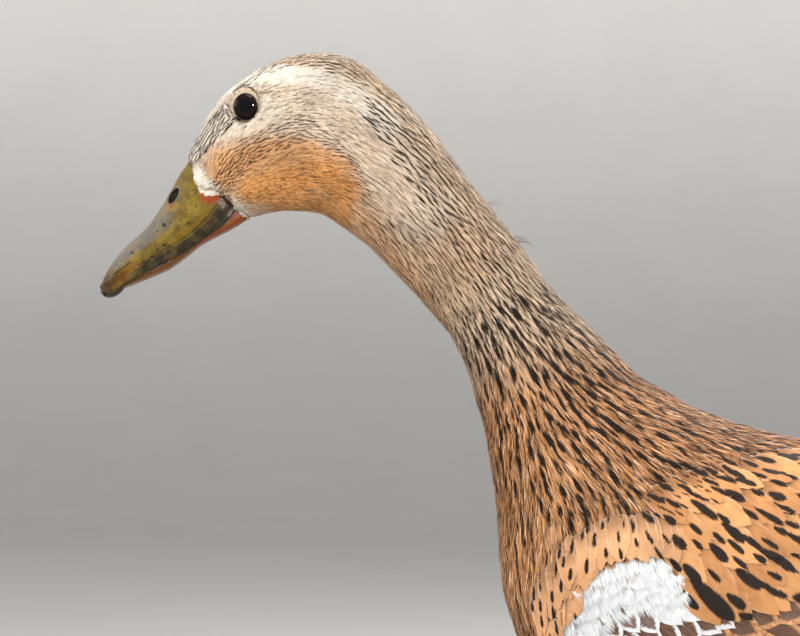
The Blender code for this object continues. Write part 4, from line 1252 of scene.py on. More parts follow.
KIND_MARKS = {
    # white, brown centre, wing bar, dark quill
    "soft": (0.0, 0.0, 0.0, 0.0),
    "white": (1.0, 0.0, 0.0, 0.0),
    "mixed": (1.0, 0.55, 0.0, 0.0),
    "covert": (0.9, 0.9, 0.0, 0.0),
    "tan": (0.0, 0.75, 0.0, 0.0),
    "bar": (0.3, 1.0, 1.0, 0.2),
    "tertial": (0.0, 0.8, 0.0, 0.3),
    "flight": (0.0, 0.2, 0.0, 1.0),
}


def on_flank(flat, side, surface=None):
    """(points, normals) of the skin where a level line from one side meets it, for side-view places in mm."""
    surface = surface or SHARED["skin"]
    places, normals = np.empty((len(flat), 3)), np.empty((len(flat), 3))
    for k, (x, z) in enumerate(flat):
        start = Vector((x * MM, side * 0.2, z * MM))
        hit, normal, _, _ = surface.tree.ray_cast(start, Vector((0, -side, 0)))
        if hit is None:
            hit, normal, _, _ = surface.tree.find_nearest(Vector((x * MM, side * 0.03, z * MM)))
        places[k], normals[k] = hit, normal
    _, normals = surface.nearest(places)
    return places, normals


def along_points(points, share):
    """Values read along a list of points, at shares of its length."""
    points = np.array(points, float)
    at = np.linspace(0, 1, len(points))
    if points.ndim == 1:
        return np.interp(share, at, points)
    return np.stack([np.interp(share, at, column) for column in points.T], axis=1)


def row_of_feathers(row, side, rng):
    """Roots, normals, lies, lengths, widths, depths and marks of one row."""
    kind, count, line, angles, lengths, widths, lifts = row
    share = (np.arange(count) + 0.5) / count
    flat = along_points(line, share) + rng.normal(0, 0.5, (count, 2))
    places, normals = on_flank(flat, side)
    angle = np.radians(along_points(angles, share) + rng.normal(0, 2.0, count))
    lies = np.stack([np.cos(angle), np.zeros(count), -np.sin(angle)], axis=1)
    marks = np.tile(KIND_MARKS[kind], (count, 1))
    if kind == "mixed":
        marks[:, 1] *= rng.uniform(0.6, 1.8, count)
    pairs = (lengths, widths, lifts)
    sizes = [along_points(pair, share) * MM * rng.uniform(0.95, 1.05, count) for pair in pairs]
    return places, normals, lies, *sizes, marks


def all_rows(rows, side, rng):
    """The same for a list of rows."""
    parts = [row_of_feathers(row, side, rng) for row in rows]
    return [np.concatenate(column) for column in zip(*parts)]


def wing_material(colours):
    """Firm wing feathers: white, or brown with pale edges, or dark quills with a glossy bar."""
    tree = Surfacing("wing feathers", roughness=0.48, specular=0.4)
    white, centre, bar, dark = tree.attribute("marks")
    across, along, seed, _ = tree.attribute("feather")
    barbs = tree.use_group("barbs", {"Across": across, "Along": along, "Seed": seed, "Count": 44.0})
    lines, shaft = barbs["Lines"], barbs["Shaft"]
    side = tree.off_middle(across)
    snow = tree.mix(lines, (0.74, 0.76, 0.78), colours.white)
    tan = tree.mix(lines, colours.fawn, colours.fawn_light)
    edge = tree.mix(white, tan, snow)
    brown = tree.mix(lines, colours.quill, (0.17, 0.080, 0.042))
    wobble = tree.times(tree.minus(lines, 0.5), 0.16)
    reach = tree.minus(0.36, tree.ramp(along, 0.62, 0.93, 0.0, 0.42))
    reach = tree.minus(tree.math("ADD", reach, wobble), side)
    inner = tree.times(tree.ramp(reach, -0.02, 0.06), tree.ramp(centre, 0.25, 0.75))
    colour = tree.mix(inner, edge, brown)
    quill = tree.mix(lines, (0.050, 0.032, 0.024), (0.105, 0.070, 0.052))
    rim = tree.ramp(tree.math("ADD", side, tree.ramp(along, 0.9, 1.0, 0.0, 0.1)), 0.44, 0.48)
    quill = tree.mix(rim, quill, colours.fawn_light)
    colour = tree.mix(dark, colour, quill)
    sheen = tree.mix(lines, colours.gloss, (0.020, 0.068, 0.070))
    band = tree.times(tree.ramp(along, 0.48, 0.52), tree.ramp(along, 0.80, 0.82, 1.0, 0.0))
    black = tree.times(tree.ramp(along, 0.44, 0.46), tree.ramp(along, 0.86, 0.87, 1.0, 0.0))
    tip = tree.times(bar, tree.ramp(along, 0.87, 0.88))
    colour = tree.mix(tree.times(black, bar), colour, colours.ink)
    colour = tree.mix(tree.times(band, bar), colour, sheen)
    colour = tree.mix(tip, colour, snow)
    colour = tree.mix(tree.times(shaft, 0.3), colour, tree.mix(white, colours.umber, (0.30, 0.24, 0.20)))
    tree.wire(tree.ramp(lines, 0.0, 1.0, 0.55, 0.42), "Roughness")
    return tree.finish(colour, tree.math("MULTIPLY_ADD", shaft, 0.8, lines), 0.0001, 0.4)


#    The feathers on the shoulder, in the same columns as the wing's
SCAPULARS = (
    ("soft", 10, ((-14, 170), (10, 176), (66, 184)), (50, 36, 12), (26, 40), (13, 17), (6.0, 6.0)),
    ("soft", 10, ((-16, 177), (10, 184), (64, 191)), (50, 36, 14), (28, 38), (13, 17), (6.3, 6.3)),
    ("soft", 10, ((-20, 185), (8, 192), (56, 198)), (48, 34, 16), (26, 34), (12, 16), (6.6, 6.6)),
    ("soft", 10, ((-24, 193), (4, 200), (46, 206)), (46, 34, 18), (24, 30), (12, 15), (6.8, 6.8)),
    ("soft", 8, ((-26, 201), (0, 208), (34, 214)), (46, 34, 20), (20, 24), (11, 13), (7.0, 7.0)),
)
#    The feathers that fold over the wing's front edge
FRONT_EDGE = (
    ("soft", 12, ((-63, 150), (-58, 162), (-50, 174)), (82, 80, 78), (15, 16), (9, 10), (5.9, 5.9)),
    ("soft", 14, ((-66, 160), (-58, 175), (-44, 186)), (84, 82, 76), (17, 18), (9, 10), (6.1, 6.1)),
    ("soft", 15, ((-55, 181), (-38, 192), (-18, 192)), (82, 76, 68), (17, 19), (10, 11), (6.3, 6.3)),
)
SHOULDER_LOOK = {
    **WING_LOOK, "grid": (19, 29), "camber": 0.05, "tip_from": 0.35, "ragged": 0.012, "drops": 30,
    "contrast": 0.5,
}
FRONT_LOOK = {
    **SHOULDER_LOOK, "grid": (15, 23), "camber": 0.02, "tip_from": 0.3, "ragged": 0.02, "contrast": 0.25,
}
WHITE_LOOK = {
    **ROOT_LOOK, "blades": 13, "blade": 0.13, "round": 0.20, "stray": 0.06, "wander": 0.02, "ragged": 0.03,
    "roll": 0.04, "low": 0.94, "camber": 0.03, "drops": 1, "own": False,
}


class DUCK_OT_wings(bpy.types.Operator):
    """Both folded wings, and the long shoulder feathers over them"""

    bl_idname = "duck.wings"
    bl_label = "Wings"

    def execute(self, context):
        colours = context.scene.duck_colours
        surface = SHARED["skin"]
        firm = wing_material(colours)
        for side, word in ((-1, "left"), (1, "right")):
            rng = np.random.default_rng(31)
            roots, normals, lies, lengths, widths, depths, marks = all_rows(WING_ROWS, side, rng)
            obj = vanes(
                f"wing_feathers_{word}", surface, roots, normals, lies, lengths, widths, depths,
                rng, WING_LOOK, marks, tilt=side * SHINGLE,
            )
            link(obj, firm)
            *shape, marks = all_rows(WHITE_ROWS, side, rng)
            link(fans(f"white_feathers_{word}", surface, *shape, marks, rng, WHITE_LOOK), firm)
            rng = np.random.default_rng(32)
            for label, rows, pale, look in (
                ("shoulder", SCAPULARS, 0.0, SHOULDER_LOOK), ("wing_front", FRONT_EDGE, 0.08, FRONT_LOOK),
            ):
                *shape, _ = all_rows(rows, side, rng)
                marks = marks_at(shape[0])
                marks[:, 0], marks[:, 1], marks[:, 3] = 0.14, pale, 1.0
                name = f"{label}_feathers_{word}"
                obj = vanes(name, surface, *shape, rng, look, marks, tilt=side * SHINGLE)
                link(obj, SHARED["plumes"])
        return {"FINISHED"}


# ------------------------------------------------------------------------------------------------
# Tail
# ------------------------------------------------------------------------------------------------
TAIL_PAIRS = 7
TAIL_ROOT = 0.72 * 13.0  # half the width over which the feathers are rooted, in millimetres
TAIL_WIDTH = 13.5
TAIL_SPREAD = math.radians(27.0)
TAIL_LOOK = {**WING_LOOK, "grid": (7, 11), "tip_from": 0.8, "camber": 0.05, "lift": (0.2, 1.0)}


class DUCK_OT_tail(bpy.types.Operator):
    """Seven pairs of tail feathers, the middle ones on top"""

    bl_idname = "duck.tail"
    bl_label = "Tail"

    def execute(self, context):
        low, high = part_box("tail_fan")
        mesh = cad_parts["tail_fan"].data
        surface = Surface(mesh)
        rng = np.random.default_rng(41)
        count = 2 * TAIL_PAIRS
        share = (np.arange(count) + 0.5) / count * 2 - 1
        order = np.argsort(-np.abs(share))
        share = share[order]
        places = np.empty((count, 3))
        places[:, 0], places[:, 1], places[:, 2] = low[0] + 0.004, share * (TAIL_ROOT * MM), high[2] + 0.004
        roots, _ = surface.nearest(places)
        normals = np.tile((0.12, 0.0, 0.99), (count, 1))
        turn = TAIL_SPREAD * share
        lies = np.stack([np.cos(turn), 0.62 * np.sin(turn), np.full(count, -0.12)], axis=1)
        lengths = (high[0] - low[0] - 0.005) * (1 - 0.15 * share**2)
        obj = vanes(
            "tail_feathers", surface, roots, normals, lies, lengths, np.full(count, TAIL_WIDTH * MM),
            np.linspace(0.3, 1.6, count) * MM, rng, TAIL_LOOK, np.tile((0.0, 0.9, 0.0, 0.45), (count, 1)),
        )
        link(obj, bpy.data.materials["wing feathers"], replaces=("tail_fan",))
        return {"FINISHED"}


# ------------------------------------------------------------------------------------------------
# Bill. Its own axes are forward, along the ridge on its side, and up, towards the ridge of its top.
# Places are (forward, up) in millimetres from where the side ridge leaves the feathers.
# ------------------------------------------------------------------------------------------------
BILL_FORWARD = np.array((-math.cos(BILL_PITCH), 0.0, -math.sin(BILL_PITCH)))
BILL_UP = np.array((-math.sin(BILL_PITCH), 0.0, math.cos(BILL_PITCH)))
NOSTRIL_AT, NOSTRIL_HALF, NOSTRIL_SLOPE = (10.9, 12.5), (3.6, 1.6), math.radians(24.0)
LIP_EDGE = ((-8, -7.6), (3, -9.9), (14.5, -10.0), (26, -9.1), (37.5, -7.2), (51.5, -6.0), (58.8, -3.4))
TIP_GROOVE = ((56.5, 1.2), (49.3, 0.2), (42.0, 0.4))
LIP_GROOVE = ((-1.5, -1.5), (4.1, -3.5), (9.4, -4.3), (14.7, -4.5), (20.7, -4.3), (30.0, -3.6), (40.0, -2.6))
YELLOW_STRIP = ((-0.2, -0.4), (5.6, -2.0), (11.1, -3.0), (16.2, -2.9), (19.3, -1.7))
FEATHER_EDGE = (  # on the bill, in side view, from its ridge to the corner of the mouth and the chin
    (-213.4, 343.5), (-212.6, 340.4), (-210.0, 329.7), (-207.9, 325.5), (-205.0, 324.0), (-199.9, 324.1),
    (-196.8, 323.2), (-194.1, 321.8), (-193.7, 319.1), (-190.3, 315.9), (-187.1, 314.6),
)
EDGE_SPACING, EDGE_LENGTH, EDGE_WIDTH, EDGE_DEPTH = 0.62, 2.6, 1.0, 0.45
RED_KEEL = ((-8.0, -14.0), (4.0, -12.9), (15.0, -11.4))
BLACK_PATCHES = (
    ((-2.0, -4.6), (3.0, -7.0)), ((5.5, -6.4), (9.5, -7.4)),
    ((34.0, -4.0), (42.0, -4.6)), ((24.0, -5.5), (31.0, -5.8)),
)
BLACK_FLECKS = (
    (21.3, 4.9, 1.0), (18.4, 3.9, 0.45), (14.0, 2.7, 0.5), (9.8, 4.3, 0.6), (12.9, -0.6, 0.5),
    (25.1, 4.6, 0.5), (26.8, 4.4, 0.4), (38.6, 3.2, 0.8), (36.8, -2.8, 0.7), (40.5, -4.3, 0.9),
    (25.9, -2.1, 0.8), (29.4, -2.0, 0.5), (28.6, 0.5, 0.45), (9.8, 0.7, 0.35), (7.1, 5.9, 0.45),
    (5.6, 3.2, 0.6), (11.6, 6.4, 0.3), (32.4, -3.4, 0.9), (44.2, 3.0, 0.35), (33.6, 1.8, 0.3),
    (16.6, 0.8, 0.3),
)
LAMELLA_PITCH, LAMELLA_HEIGHT = 1.15, 0.22
NAIL_HORN = (0.3, 0.35, 300.0, 0.15, (0.012, 0.008, 0.005), (0.050, 0.022, 0.008))


def bill_place(points):
    """(forward, up) of points in millimetres, and how far each is to the side."""
    away = (points - np.array((BILL_ROOT_MM[0] * MM, 0, BILL_ROOT_MM[1] * MM))) / MM
    return np.stack([away @ BILL_FORWARD, away @ BILL_UP], axis=1), np.abs(points[:, 1]) / MM


def nostril_distance(flat):
    """1 on the nostril's rim, and less inside."""
    away = flat - np.array(NOSTRIL_AT)
    turn = NOSTRIL_SLOPE
    long = away[:, 0] * math.cos(turn) - away[:, 1] * math.sin(turn)
    high = away[:, 0] * math.sin(turn) + away[:, 1] * math.cos(turn)
    return np.hypot(long / NOSTRIL_HALF[0], high / NOSTRIL_HALF[1])


def near_line(flat, line, radius, soft):
    return smooth_step(1 - (line_distance(flat, line) - radius) / soft)


def near_edge(flat, first, last, radius, soft):
    """1 beside part of the feathers' edge, with a ragged border."""
    away = np.array([(x - BILL_ROOT_MM[0], 0, z - BILL_ROOT_MM[1]) for x, z in FEATHER_EDGE[first:last]])
    line = np.stack([away @ BILL_FORWARD, away @ BILL_UP], axis=1)
    wave = np.sin(2.9 * flat[:, 0] + 1.3 * flat[:, 1]) * np.sin(2.3 * flat[:, 1] - 1.7 * flat[:, 0])
    return smooth_step(1 - (line_distance(flat, line) + 0.7 * wave - radius) / soft)


def add_septum(bm):
    """A wall between the nostrils, painted black as the nostrils' painted shade, so that they look into the
    dark.
    """
    root = np.array((BILL_ROOT_MM[0], 0, BILL_ROOT_MM[1]))
    place = root + NOSTRIL_AT[0] * BILL_FORWARD + NOSTRIL_AT[1] * BILL_UP
    long = BILL_FORWARD * math.cos(NOSTRIL_SLOPE) - BILL_UP * math.sin(NOSTRIL_SLOPE)
    high = BILL_FORWARD * math.sin(NOSTRIL_SLOPE) + BILL_UP * math.cos(NOSTRIL_SLOPE)
    made = bmesh.ops.create_uvsphere(bm, u_segments=24, v_segments=16, radius=1.0)["verts"]
    for v in made:
        at = place + 4.3 * v.co.x * long + 2.2 * v.co.z * high
        v.co = Vector((at[0], 1.2 * v.co.y, at[2])) * MM
    bmesh.ops.recalc_face_normals(bm, faces=list({face for v in made for face in v.link_faces}))


def horn_piece(name, node, voxel, relief, paint, material):
    """A fine copy of a hard node, with relief worked into it and marks painted on it."""
    bm = copied_nodes((node,))
    if node == "bill_upper":
        add_septum(bm)
    obj = remeshed(name, bm, voxel)
    mesh = obj.data
    edges = read_array(mesh.edges, "vertices", 2, np.int32)
    points = smoothed(read_array(mesh.vertices, "co", 3), edges, 5)
    set_points(mesh, points)
    normals = vertex_normals(mesh)
    flat, side = bill_place(points)
    set_points(mesh, points + normals * (relief(flat, side, normals) * MM)[:, None])
    give_colours(mesh, "marks", paint(flat, side, normals))
    mesh.shade_smooth()
    return link(obj, material, replaces=(node,))


def upper_relief(flat, side, normals):
    outward = np.abs(normals[:, 1])
    rim = nostril_distance(flat)
    height = 0.30 * np.exp(-(((rim - 1.22) / 0.20) ** 2))
    height -= 0.32 * near_line(flat, TIP_GROOVE, 0.0, 0.8) * outward
    height += 0.22 * near_line(flat - (0, -1.5), TIP_GROOVE, 0.3, 1.2) * outward
    height -= 0.26 * near_line(flat, LIP_GROOVE, 0.0, 0.8) * outward
    height += 0.14 * near_line(flat, YELLOW_STRIP, 0.4, 1.0) * outward
    warts = np.sin(flat[:, 0] * 5.1 + side * 3.7) * np.sin(flat[:, 1] * 4.7 - side * 2.9)
    height += 0.14 * warts * near_edge(flat, 3, 11, 2.0, 1.6)
    return height


def upper_paint(flat, side, normals):
    """Columns yellow, red, black with painted shade in the grooves, the nostril and the mouth's fold, and a
    fourth with the ridge's slate and painted reflection and the nostril's pale rim and painted highlight.
    """
    lip = height_on(LIP_EDGE, flat[:, 0])
    above_lip = flat[:, 1] - lip
    yellow = near_line(flat, YELLOW_STRIP, 0.35, 1.0)
    red = np.maximum(near_edge(flat, 4, 7, 1.2, 2.0), near_edge(flat, 8, 11, 1.8, 2.0))
    rim = nostril_distance(flat)
    red = np.maximum(red, 0.5 * near_line(flat, ((13.5, 10.0), (16.0, 9.2)), 0.2, 1.2))
    groove = height_on(LIP_GROOVE, flat[:, 0])
    band = smooth_step((groove - flat[:, 1]) / 1.4) * smooth_step((50 - flat[:, 0]) / 10)
    black = np.maximum(0.93 * band, 0.85 * smooth_step((2.0 - above_lip) / 1.4))
    # Painted shade in the fold at the corner of the mouth, by the feathers' edge.
    black = np.maximum(black, 0.95 * near_edge(flat, 6, 9, 1.9, 1.2))
    for line in BLACK_PATCHES:
        wave = 1.2 * np.sin(1.9 * flat[:, 0] + 0.7 * flat[:, 1]) * np.sin(2.1 * flat[:, 1] - 1.1 * flat[:, 0])
        black = np.maximum(black, 0.9 * smooth_step(1 - (line_distance(flat, line) + wave - 0.3) / 1.2))
    for forward, up, radius in BLACK_FLECKS:
        away = np.hypot(flat[:, 0] - forward, flat[:, 1] - up)
        turn = np.arctan2(flat[:, 1] - up, flat[:, 0] - forward)
        ragged = radius * (0.9 + 0.16 * np.sin(2 * turn + 7 * forward) + 0.12 * np.sin(5 * turn + up))
        black = np.maximum(black, smooth_step((ragged + 0.20 - away) / 0.5))
    # Painted shade: the inside of the nostril is black.
    black = np.maximum(black, smooth_step((1.06 - rim) / 0.10))
    # Painted shade along the tip's groove and the lip's groove, which the relief also cuts.
    black = np.maximum(black, 0.6 * near_line(flat, TIP_GROOVE, 0.2, 0.4))
    black = np.maximum(black, 0.75 * near_line(flat, LIP_GROOVE, 0.0, 0.6))
    # Painted reflection: the ridge's slate lies on the faces that look up, where the sky shines in them.
    top = smooth_step((normals @ BILL_UP - 0.25) / 0.5)
    # The nostril's raised rim is painted pale: its own pale colour and a painted highlight.
    pale_rim_and_highlight = 0.8 * np.exp(-(((rim - 1.25) / 0.16) ** 2))
    slate_sheen = 0.75 * top * smooth_step((flat[:, 0] - 12) / 8) * smooth_step((54 - flat[:, 0]) / 8)
    ridge = near_line(flat, ((57, -2.4), (48, -2.4), (41, -1.6)), 0.8, 1.6)
    red = np.maximum(red, 0.36 * ridge)
    black = np.maximum(black, 0.68 * smooth_step((flat[:, 0] - 44) / 12))
    return np.stack([yellow, red, black, np.maximum(slate_sheen, pale_rim_and_highlight)], axis=1)


def lower_relief(flat, side, normals):
    combs = np.cos(math.tau * flat[:, 0] / LAMELLA_PITCH)
    mask = smooth_step((flat[:, 0] - 10) / 4) * smooth_step((50 - flat[:, 0]) / 4) * np.abs(normals[:, 1])
    return LAMELLA_HEIGHT * combs * mask


def lower_paint(flat, side, normals):
    bottom = near_line(flat, RED_KEEL, 1.8, 2.2)
    bottom = np.maximum(bottom, near_line(flat, ((-3.5, -8.8), (-6.5, -12.0)), 1.6, 1.6))
    flesh = 0.45 * smooth_step((flat[:, 0] - 8) / 5)
    # Painted shade in the fold at the corner of the mouth.
    black = near_line(flat, ((-3.0, -6.5), (6.0, -8.6)), 1.6, 1.6) * 0.8
    # Painted shade in the troughs between the combs, which the relief also cuts.
    combs = smooth_step(0.5 - np.cos(math.tau * flat[:, 0] / LAMELLA_PITCH))
    black = np.maximum(black, 0.55 * combs * smooth_step((flat[:, 0] - 12) / 4) * np.abs(normals[:, 1]))
    yellow = smooth_step((flat[:, 0] - 10) / 6) * 0.9
    # Darker on the faces that look down: the lower edge's own dark line, and painted shade against the
    # floor's light.
    black = np.maximum(black * (1 - bottom), 0.35 * smooth_step((-(normals @ BILL_UP) - 0.74) / 0.18))
    return np.stack([yellow, np.maximum(bottom, flesh), black, np.zeros(len(flat))], axis=1)


def bill_material(colours):
    """Waxy horn: olive with yellow, red and dark places, some dark ones painted shade in grooves and folds,
    fine pits, and slate with a painted sheen on the ridge.
    """
    tree = Surfacing("bill horn", roughness=0.38, specular=0.20)
    yellow, red, black, slate_sheen = tree.attribute("marks")
    place = tree.object_place()
    cloud = tree.noise(place, 190.0, 4.0, 0.6)
    fine = tree.noise(place, 1500.0, 3.0, 0.6)
    dots = tree.cells(place, 620.0)
    fleck = tree.times(tree.ramp(dots, 0.20, 0.12), tree.ramp(cloud, 0.50, 0.62))
    colour = tree.mix(tree.ramp(cloud, 0.36, 0.64), colours.olive, (0.110, 0.066, 0.006))
    # Painted sheen: the ridge's slate, mixed in where the faces look up.
    colour = tree.mix(tree.times(slate_sheen, tree.ramp(cloud, 0.2, 0.7, 0.55, 1.0)), colour, colours.bill_slate_sheen)
    colour = tree.mix(tree.times(yellow, tree.ramp(fine, 0.3, 0.7, 0.7, 1.0)), colour, colours.bill_yellow)
    colour = tree.mix(tree.times(red, tree.ramp(fine, 0.34, 0.60, 0.25, 1.0)), colour, colours.bill_orange)
    colour = tree.mix(tree.times(fleck, 0.85), colour, colours.ink)
    patchy = tree.times(tree.ramp(cloud, 0.30, 0.60, 0.82, 1.08), tree.ramp(fine, 0.25, 0.7, 0.80, 1.12))
    frayed = tree.math("MULTIPLY", black, patchy, clamp=True)
    colour = tree.mix(frayed, colour, (0.016, 0.010, 0.005))
    tree.wire(tree.ramp(fine, 0.3, 0.7, 0.26, 0.44), "Roughness")
    return tree.finish(colour, tree.math("MULTIPLY_ADD", cloud, 1.6, fine), 0.00022, 0.55)


def horn_material(name, roughness, specular, scale, spread, dark, light):
    """Plain horn, clouded between two colours."""
    tree = Surfacing(name, roughness=roughness, specular=specular)
    cloud = tree.noise(tree.object_place(), scale, 4.0)
    colour = tree.mix(tree.ramp(cloud, 0.5 - spread, 0.5 + spread), dark, light)
    return tree.finish(colour, cloud, 0.0002)


def give_material(node, material):
    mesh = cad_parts[node].data
    mesh.materials.clear()
    mesh.materials.append(material)


class DUCK_OT_bill(bpy.types.Operator):
    """Upper and lower bill with nostrils, grooves, combs and the nail"""

    bl_idname = "duck.bill"
    bl_label = "Bill"

    def feather_edge(self, bill):
        """Tiny feathers that reach down over the root of the bill."""
        rng = np.random.default_rng(61)
        surface = Surface(bill.data)

        def covered(places):
            return line_side(side_view(places), FEATHER_EDGE) > 0.2

        roots, normals = surface.scatter(EDGE_SPACING * MM, rng, covered)
        clear = covered(roots)
        roots, normals = roots[clear], normals[clear]
        sizes = same_for_all(len(roots), EDGE_LENGTH, EDGE_WIDTH, EDGE_DEPTH)
        name = f"{bill.name}_feathers"
        obj = fans(name, surface, roots, normals, field_at(roots)[0], *sizes, marks_at(roots), rng, FACE_LOOK)
        link(obj, SHARED["plumes"])

    def execute(self, context):
        voxel = context.scene.duck_sizes.bill_voxel
        material = bill_material(context.scene.duck_colours)
        for name, node, size, relief, paint in (
            ("bill_top", "bill_upper", voxel, upper_relief, upper_paint),
            ("bill_under", "bill_lower", voxel * 0.8, lower_relief, lower_paint),
        ):
            self.feather_edge(horn_piece(name, node, size, relief, paint, material))
        give_material("bill_nail", horn_material("nail horn", *NAIL_HORN))
        return {"FINISHED"}


# ------------------------------------------------------------------------------------------------
# Eyes
# ------------------------------------------------------------------------------------------------
EYE_OUT = 8.6 * MM  # of the balls' middles from the middle plane
LID_OPENING = (4.75, 5.35)  # half width and half height of what the lids leave open, in millimetres
LID_SHIFT = (-0.15, -0.5)  # of the opening's middle from the ball's
LID_FEATHER_DEPTH = 0.24
EYE_GAP = 0.45  # between the opening and the first feathers
#    the lid's section: (distance outwards from its edge, height off the ball), in millimetres
LID_SECTION = (
    (-0.05, -0.5), (0.0, 0.10), (0.2, 0.20), (0.45, 0.14), (0.75, 0.02),
    (1.1, -0.12), (1.6, -0.4), (2.2, -0.9), (2.8, -1.6),
)
LID_TURNS = 72
LID_FEATHERS, LID_FEATHER_LENGTH, LID_FEATHER_WIDTH = 0.50, 1.6, 0.50  # spacing and size of those on the lids


def eye_material():
    """A wet dark eye: black pupil, dark brown iris."""
    tree = Surfacing("eye", roughness=0.03, specular=0.14)
    parts = tree.add("ShaderNodeSeparateXYZ", {"Vector": tree.object_place()})
    across = tree.minus(parts.outputs["X"], EYE.x)
    up = tree.minus(parts.outputs["Z"], EYE.z)
    ring = tree.math("SQRT", tree.math("ADD", tree.times(across, across), tree.times(up, up)))
    rays = tree.noise(tree.object_place(), 900.0, 3.0)
    iris = tree.mix(rays, (0.005, 0.0022, 0.002), (0.012, 0.0045, 0.0035))
    colour = tree.mix(tree.ramp(ring, 0.0026, 0.0031), (0.0010, 0.0012, 0.0030), iris)
    colour = tree.mix(tree.ramp(ring, 0.0040, 0.0047), colour, (0.004, 0.003, 0.003))
    side = tree.math("SIGN", parts.outputs["Y"])
    out = tree.minus(tree.math("ABSOLUTE", parts.outputs["Y"]), EYE_OUT)
    way = tree.add("ShaderNodeCombineXYZ", {"X": across, "Y": tree.times(out, side), "Z": up})
    round_normal = tree.add("ShaderNodeVectorMath", {0: way.outputs[0]}, operation="NORMALIZE")
    tree.wire(round_normal.outputs[0], "Normal")
    return tree.finish(colour)


def lid_material():
    tree = Surfacing("lid", roughness=0.5, specular=0.4)
    edge = tree.attribute("marks")[0]
    fine = tree.noise(tree.object_place(), 1600.0, 3.0)
    pale = tree.mix(fine, (0.30, 0.20, 0.09), (0.72, 0.56, 0.30))
    colour = tree.mix(edge, pale, tree.mix(fine, (0.006, 0.004, 0.003), (0.022, 0.013, 0.008)))
    return tree.finish(colour, fine, 0.0002)


def lid_ring(bm, side):
    """One lid ring: its section turned round the eye's axis, stretched to an oval and laid on the ball."""
    centre = middle_of("eye_left" if side < 0 else "eye_right")
    before = set(bm.verts)
    first = [bm.verts.new((LID_OPENING[0] + out, high, 0)) for out, high in LID_SECTION]
    lines = [bm.edges.new(pair) for pair in zip(first, first[1:])]
    bmesh.ops.spin(
        bm, geom=first + lines, axis=(0, 1, 0), cent=(0, 0, 0), angle=math.tau, steps=LID_TURNS,
        use_merge=True,
    )
    radius = EYE_RADIUS / MM
    edge_layer = SHARED.setdefault("lid_edge", {})
    for v in set(bm.verts) - before:
        out = math.hypot(v.co.x, v.co.z)
        turn = math.atan2(v.co.z, v.co.x)
        grow = out - LID_OPENING[0]
        at_x = (LID_OPENING[0] + grow) * math.cos(turn) + LID_SHIFT[0]
        at_z = (LID_OPENING[1] + grow) * math.sin(turn) + LID_SHIFT[1]
        away = min(math.hypot(at_x, at_z), radius * 0.98)
        ball = math.sqrt(radius**2 - away**2)
        high = v.co.y
        shade = 1.0 if grow < 0.3 else max(0.0, 1 - (grow - 0.3) / 0.35)
        v.co = Vector((EYE.x + at_x * MM, centre.y + side * (ball + high) * MM, EYE.z + at_z * MM))
        edge_layer[v] = shade


class DUCK_OT_eyes(bpy.types.Operator):
    """Dark wet eyes in dark-rimmed lids with tiny feathers"""

    bl_idname = "duck.eyes"
    bl_label = "Eyes"

    def feather_lids(self, mesh):
        rng = np.random.default_rng(51)
        surface = Surface(mesh)

        def on_lid(places):
            return (lid_distance(places) > 1.06) & (lid_distance(places) < 1.55)

        roots, normals = surface.scatter(LID_FEATHERS * MM, rng, on_lid)
        normals *= np.where((normals[:, 1] > 0) == (roots[:, 1] > 0), 1, -1)[:, None]
        count = len(roots)
        away = unit((roots - np.array((EYE.x, 0, EYE.z))) * (1, 0, 1))
        lies = 0.4 * away + unit(field_at(roots)[0])
        sizes = same_for_all(count, LID_FEATHER_LENGTH, LID_FEATHER_WIDTH, LID_FEATHER_DEPTH)
        marks = marks_at(roots)
        marks[:, 0], marks[:, 1] = 0.25, np.minimum(marks[:, 1], 0.45)
        obj = fans("lid_feathers", surface, roots, normals, lies, *sizes, marks, rng, FACE_LOOK)
        link(obj, SHARED["plumes"])

    def execute(self, context):
        ball = eye_material()
        for node in ("eye_left", "eye_right"):
            give_material(node, ball)
        bm = bmesh.new()
        for side in (-1, 1):
            lid_ring(bm, side)
        bmesh.ops.remove_doubles(bm, verts=bm.verts, dist=1e-7)
        bm.verts.index_update()
        shades = np.array([SHARED["lid_edge"].get(v, 1.0) for v in bm.verts])
        bm.normal_update()
        for f in bm.faces:
            outward = 1 if f.calc_center_median().y > 0 else -1
            if f.normal.y * outward < 0:
                f.normal_flip()
        #    The spin gives its faces in an order that changes, and the feathers' draw follows them.
        faces = [tuple(v.index for v in f.verts) for f in bm.faces]
        faces = sorted(ids[ids.index(min(ids)) :] + ids[: ids.index(min(ids))] for ids in faces)
        mesh = bpy.data.meshes.new("lids")
        mesh.from_pydata([v.co.copy() for v in bm.verts], [], faces)
        bm.free()
        mesh.shade_smooth()
        give_colours(mesh, "marks", np.stack([shades] * 3, axis=1))
        link(bpy.data.objects.new("lids", mesh), lid_material())
        self.feather_lids(mesh)
        return {"FINISHED"}


# ------------------------------------------------------------------------------------------------
# Legs and feet
# ------------------------------------------------------------------------------------------------
SCUTE_PITCH = 2.3
TOES = ("inner", "middle", "outer", "hind")
CLAW_HORN = (0.4, 0.45, 350.0, 0.2, (0.030, 0.020, 0.013), (0.12, 0.080, 0.050))


def toe_lines(side_word):
    """Side-on ground lines from the ankle to each claw, in millimetres."""
    ankle = middle_of(f"shank_{side_word}")
    shank_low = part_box(f"shank_{side_word}")[0]
    start = np.array((shank_low.x + 5 * MM, ankle.y)) / MM
    ends = {}
    for toe in TOES:
        low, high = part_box(f"claw_{toe}_{side_word}")
        ends[toe] = np.array(((low.x + high.x) / 2, (low.y + high.y) / 2)) / MM
    return [(tuple(start), tuple(end)) for end in ends.values()]


